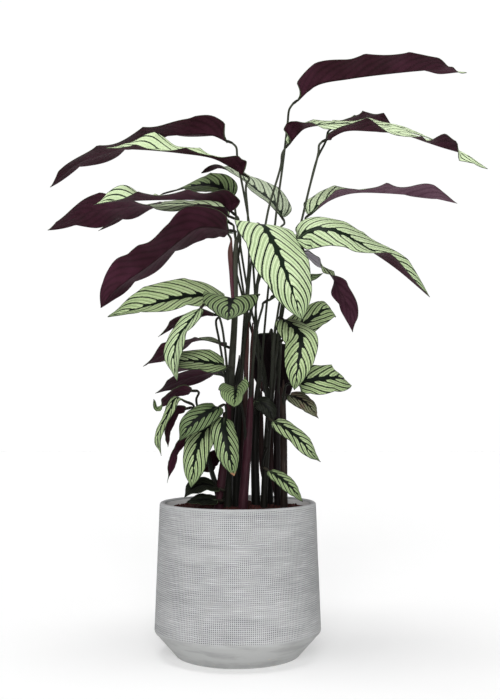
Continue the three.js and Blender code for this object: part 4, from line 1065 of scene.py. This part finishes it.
def pot_profile():
    """Radius and height of the pot's section, from the middle of its underside round to its floor.

    Also the place in the list where the inside begins.
    """
    inside = POT_RIM_RADIUS - POT_WALL
    base_edge = (POT_BASE_RADIUS, POT_BEVEL)
    foot_edge = (POT_WIDEST_RADIUS - POT_BEVEL, POT_FOOT_HEIGHT - POT_BEVEL)
    shoulder = (POT_WIDEST_RADIUS, POT_FOOT_HEIGHT + 2)
    lip = (POT_RIM_RADIUS, POT_HEIGHT - POT_LIP_ROUND)
    profile = [(0, 0), (POT_BASE_RADIUS - POT_EDGE_ROUND, 0), (POT_BASE_RADIUS - 0.9, 0.5), base_edge]
    profile += straight(base_edge, foot_edge, POT_FOOT_ROWS)
    profile += [(POT_WIDEST_RADIUS - 1.2, POT_FOOT_HEIGHT - 1.5),
                (POT_WIDEST_RADIUS - 0.3, POT_FOOT_HEIGHT), shoulder]
    profile += straight(shoulder, lip, POT_WALL_ROWS)
    profile += lip_round((POT_RIM_RADIUS - POT_LIP_ROUND, lip[1]), 0, 90)
    profile += lip_round((inside + POT_LIP_ROUND, lip[1]), 90, 180)
    first_inside = len(profile) - 1
    profile += [(inside, POT_HEIGHT - POT_INNER_RIM), (inside, POT_INNER_FOOT)]
    profile += [(POT_FLOOR_RADIUS, POT_FLOOR), (0, POT_FLOOR)]
    return profile, first_inside


def pot():
    """The turned shell, with the shallow unevenness of a hand-finished wall on its outside."""
    profile, first_inside = pot_profile()
    inside = POT_RIM_RADIUS - POT_WALL
    points, uvs = [], []
    for level, (radius, height) in enumerate(profile):
        outer_wall = 2 < height < POT_HEIGHT - 1 and radius > inside + 1
        for side in range(POT_SIDES + 1):
            turn = 2 * math.pi * side / POT_SIDES
            dent = noise.noise(Vector(turned(POT_DENT_TURNS, turn, height * POT_DENT_RISE)))
            dent *= POT_DENT if outer_wall else 0
            points.append(turned(max(radius + min(dent, 0), 0), turn, height))
            uvs.append((side / POT_SIDES, height * MM + (1 if level >= first_inside else 0)))
    faces = net_faces(len(profile) - 1, POT_SIDES)
    piece = mesh_object("pot_shell", points, faces, (pot_material(),), {"pot": uvs})
    dress(piece, "pot")


def soil_height(x, y, radius, reach):
    """Height of the soil's top: a low mound with soft unevenness."""
    mound = SOIL_MOUND * (1 - (radius / reach) ** 2)
    crumbs = math.sin(x * 0.19 + 1.3) * math.sin(y * 0.23 + 0.4) + 0.6 * math.sin(x * 0.37 - y * 0.29)
    return SOIL_TOP + mound + SOIL_CRUMB * crumbs


def soil():
    """The body of soil, rough on top, with loose crumbs lying on it."""
    inside = POT_RIM_RADIUS - POT_WALL - GAP
    turns = [2 * math.pi * side / SOIL_SIDES for side in range(SOIL_SIDES)]
    levels = [(POT_FLOOR_RADIUS - GAP, POT_FLOOR + GAP), (inside, POT_INNER_FOOT + GAP)]
    points = [turned(radius, turn, height) for radius, height in levels for turn in turns]
    for ring in range(SOIL_ROWS, 0, -1):
        radius = inside * ring / SOIL_ROWS
        for turn in turns:
            x, y, _ = turned(radius, turn, 0)
            rough = noise.fractal(Vector((x * 0.09, y * 0.09, 2.0)), 0.9, 2.1, 5)
            points.append((x, y, soil_height(x, y, radius, inside) + SOIL_ROUGHNESS * rough))
    bottom = len(points)
    points += [(0, 0, POT_FLOOR + GAP), (0, 0, soil_height(0, 0, 0, inside))]
    last = (SOIL_ROWS + len(levels) - 1) * SOIL_SIDES
    faces = []
    for start in range(0, last, SOIL_SIDES):
        for side in range(SOIL_SIDES):
            a = start + side
            b = start + (side + 1) % SOIL_SIDES
            faces.append((a, b, b + SOIL_SIDES, a + SOIL_SIDES))
    for side in range(SOIL_SIDES):
        after = (side + 1) % SOIL_SIDES
        faces.append((bottom, after, side))
        faces.append((bottom + 1, last + side, last + after))
    draw = random.Random(SEED)
    for _ in range(CLODS):
        radius = (inside - 3) * math.sqrt(draw.random())
        x, y, _ = turned(radius, draw.uniform(0, 2 * math.pi), 0)
        size = draw.uniform(*CLOD_SIZES)
        clod(points, faces, draw, (x, y, soil_height(x, y, radius, inside) + 0.4 * size), size)
    piece = mesh_object("soil_mix", points, faces, (soil_material(),))
    dress(piece, "soil")


def clod(points, faces, draw, centre, size):
    """A small angular crumb: a stretched octahedron with moved corners."""
    first = len(points)
    turn = draw.uniform(0, math.pi)
    flat = draw.uniform(0.45, 0.9)
    for x, y, z in ((1, 0, 0), (0, 1, 0), (-1, 0, 0), (0, -1, 0), (0, 0, 1), (0, 0, -1)):
        grow = draw.uniform(0.7, 1.3) * size
        points.append((centre[0] + grow * (x * math.cos(turn) - y * math.sin(turn)),
                       centre[1] + grow * (x * math.sin(turn) + y * math.cos(turn)),
                       centre[2] + grow * flat * z))
    for side in range(4):
        after = (side + 1) % 4
        faces.append((first + side, first + after, first + 4))
        faces.append((first + after, first + side, first + 5))


def studio():
    """A white floor and a white backdrop all round, soft light from the sky, the front and above."""
    scene = bpy.context.scene
    scene.view_settings.view_transform = "Standard"
    world = bpy.data.worlds.new("studio")
    world.use_nodes = True
    world.node_tree.nodes["Background"].inputs["Color"].default_value = (1, 1, 1, 1)
    world.node_tree.nodes["Background"].inputs["Strength"].default_value = SKY_LIGHT
    scene.world = world
    corners = [(FLOOR_REACH * x, FLOOR_REACH * y, 0) for x, y in ((-1, -1), (1, -1), (1, 1), (-1, 1))]
    shader = Shader("floor_paint", (0.62, 0.62, 0.62, 1))
    shader.cover(shader.noise(3, 2), (0.64, 0.64, 0.64, 1))
    floor = mesh_object("floor", corners, [(0, 1, 2, 3)],
                        (shader.finish(0.9, 0.1, glow_strength=FLOOR_GLOW),))
    bpy.ops.mesh.primitive_uv_sphere_add(segments=48, ring_count=24, radius=BACKDROP_RADIUS)
    backdrop = bpy.context.object
    backdrop.name = "backdrop"
    shader = Shader("backdrop_paint", (0, 0, 0, 1))
    cloth = shader.mix(shader.noise(0.5, 1), (0.99, 0.99, 0.99, 1), (1, 1, 1, 1))
    backdrop.data.materials.append(shader.finish(1.0, 0.0, None, cloth, BACKDROP_GLOW))
    backdrop.visible_diffuse = False
    backdrop.visible_glossy = False
    backdrop.visible_shadow = False
    for name, towards, strength, softness in LAMPS:
        data = bpy.data.lights.new(name, "SUN")
        data.energy = strength
        data.angle = math.radians(softness)
        lamp = bpy.data.objects.new(name, data)
        lamp.location = Vector(towards) * 3
        lamp.rotation_euler = Vector(towards).to_track_quat("Z", "Y").to_euler()
        bpy.context.collection.objects.link(lamp)


def camera():
    """The camera at the photograph's place."""
    data = bpy.data.cameras.new("camera")
    data.sensor_width = SENSOR
    data.lens = CAMERA_LENS
    data.clip_end = 50
    made = bpy.data.objects.new("camera", data)
    made.location = CAMERA_PLACE
    made.rotation_euler = (math.pi / 2 + CAMERA_PITCH, 0, 0)
    bpy.context.collection.objects.link(made)
    bpy.context.scene.camera = made


plant()
pot()
soil()
studio()
camera()
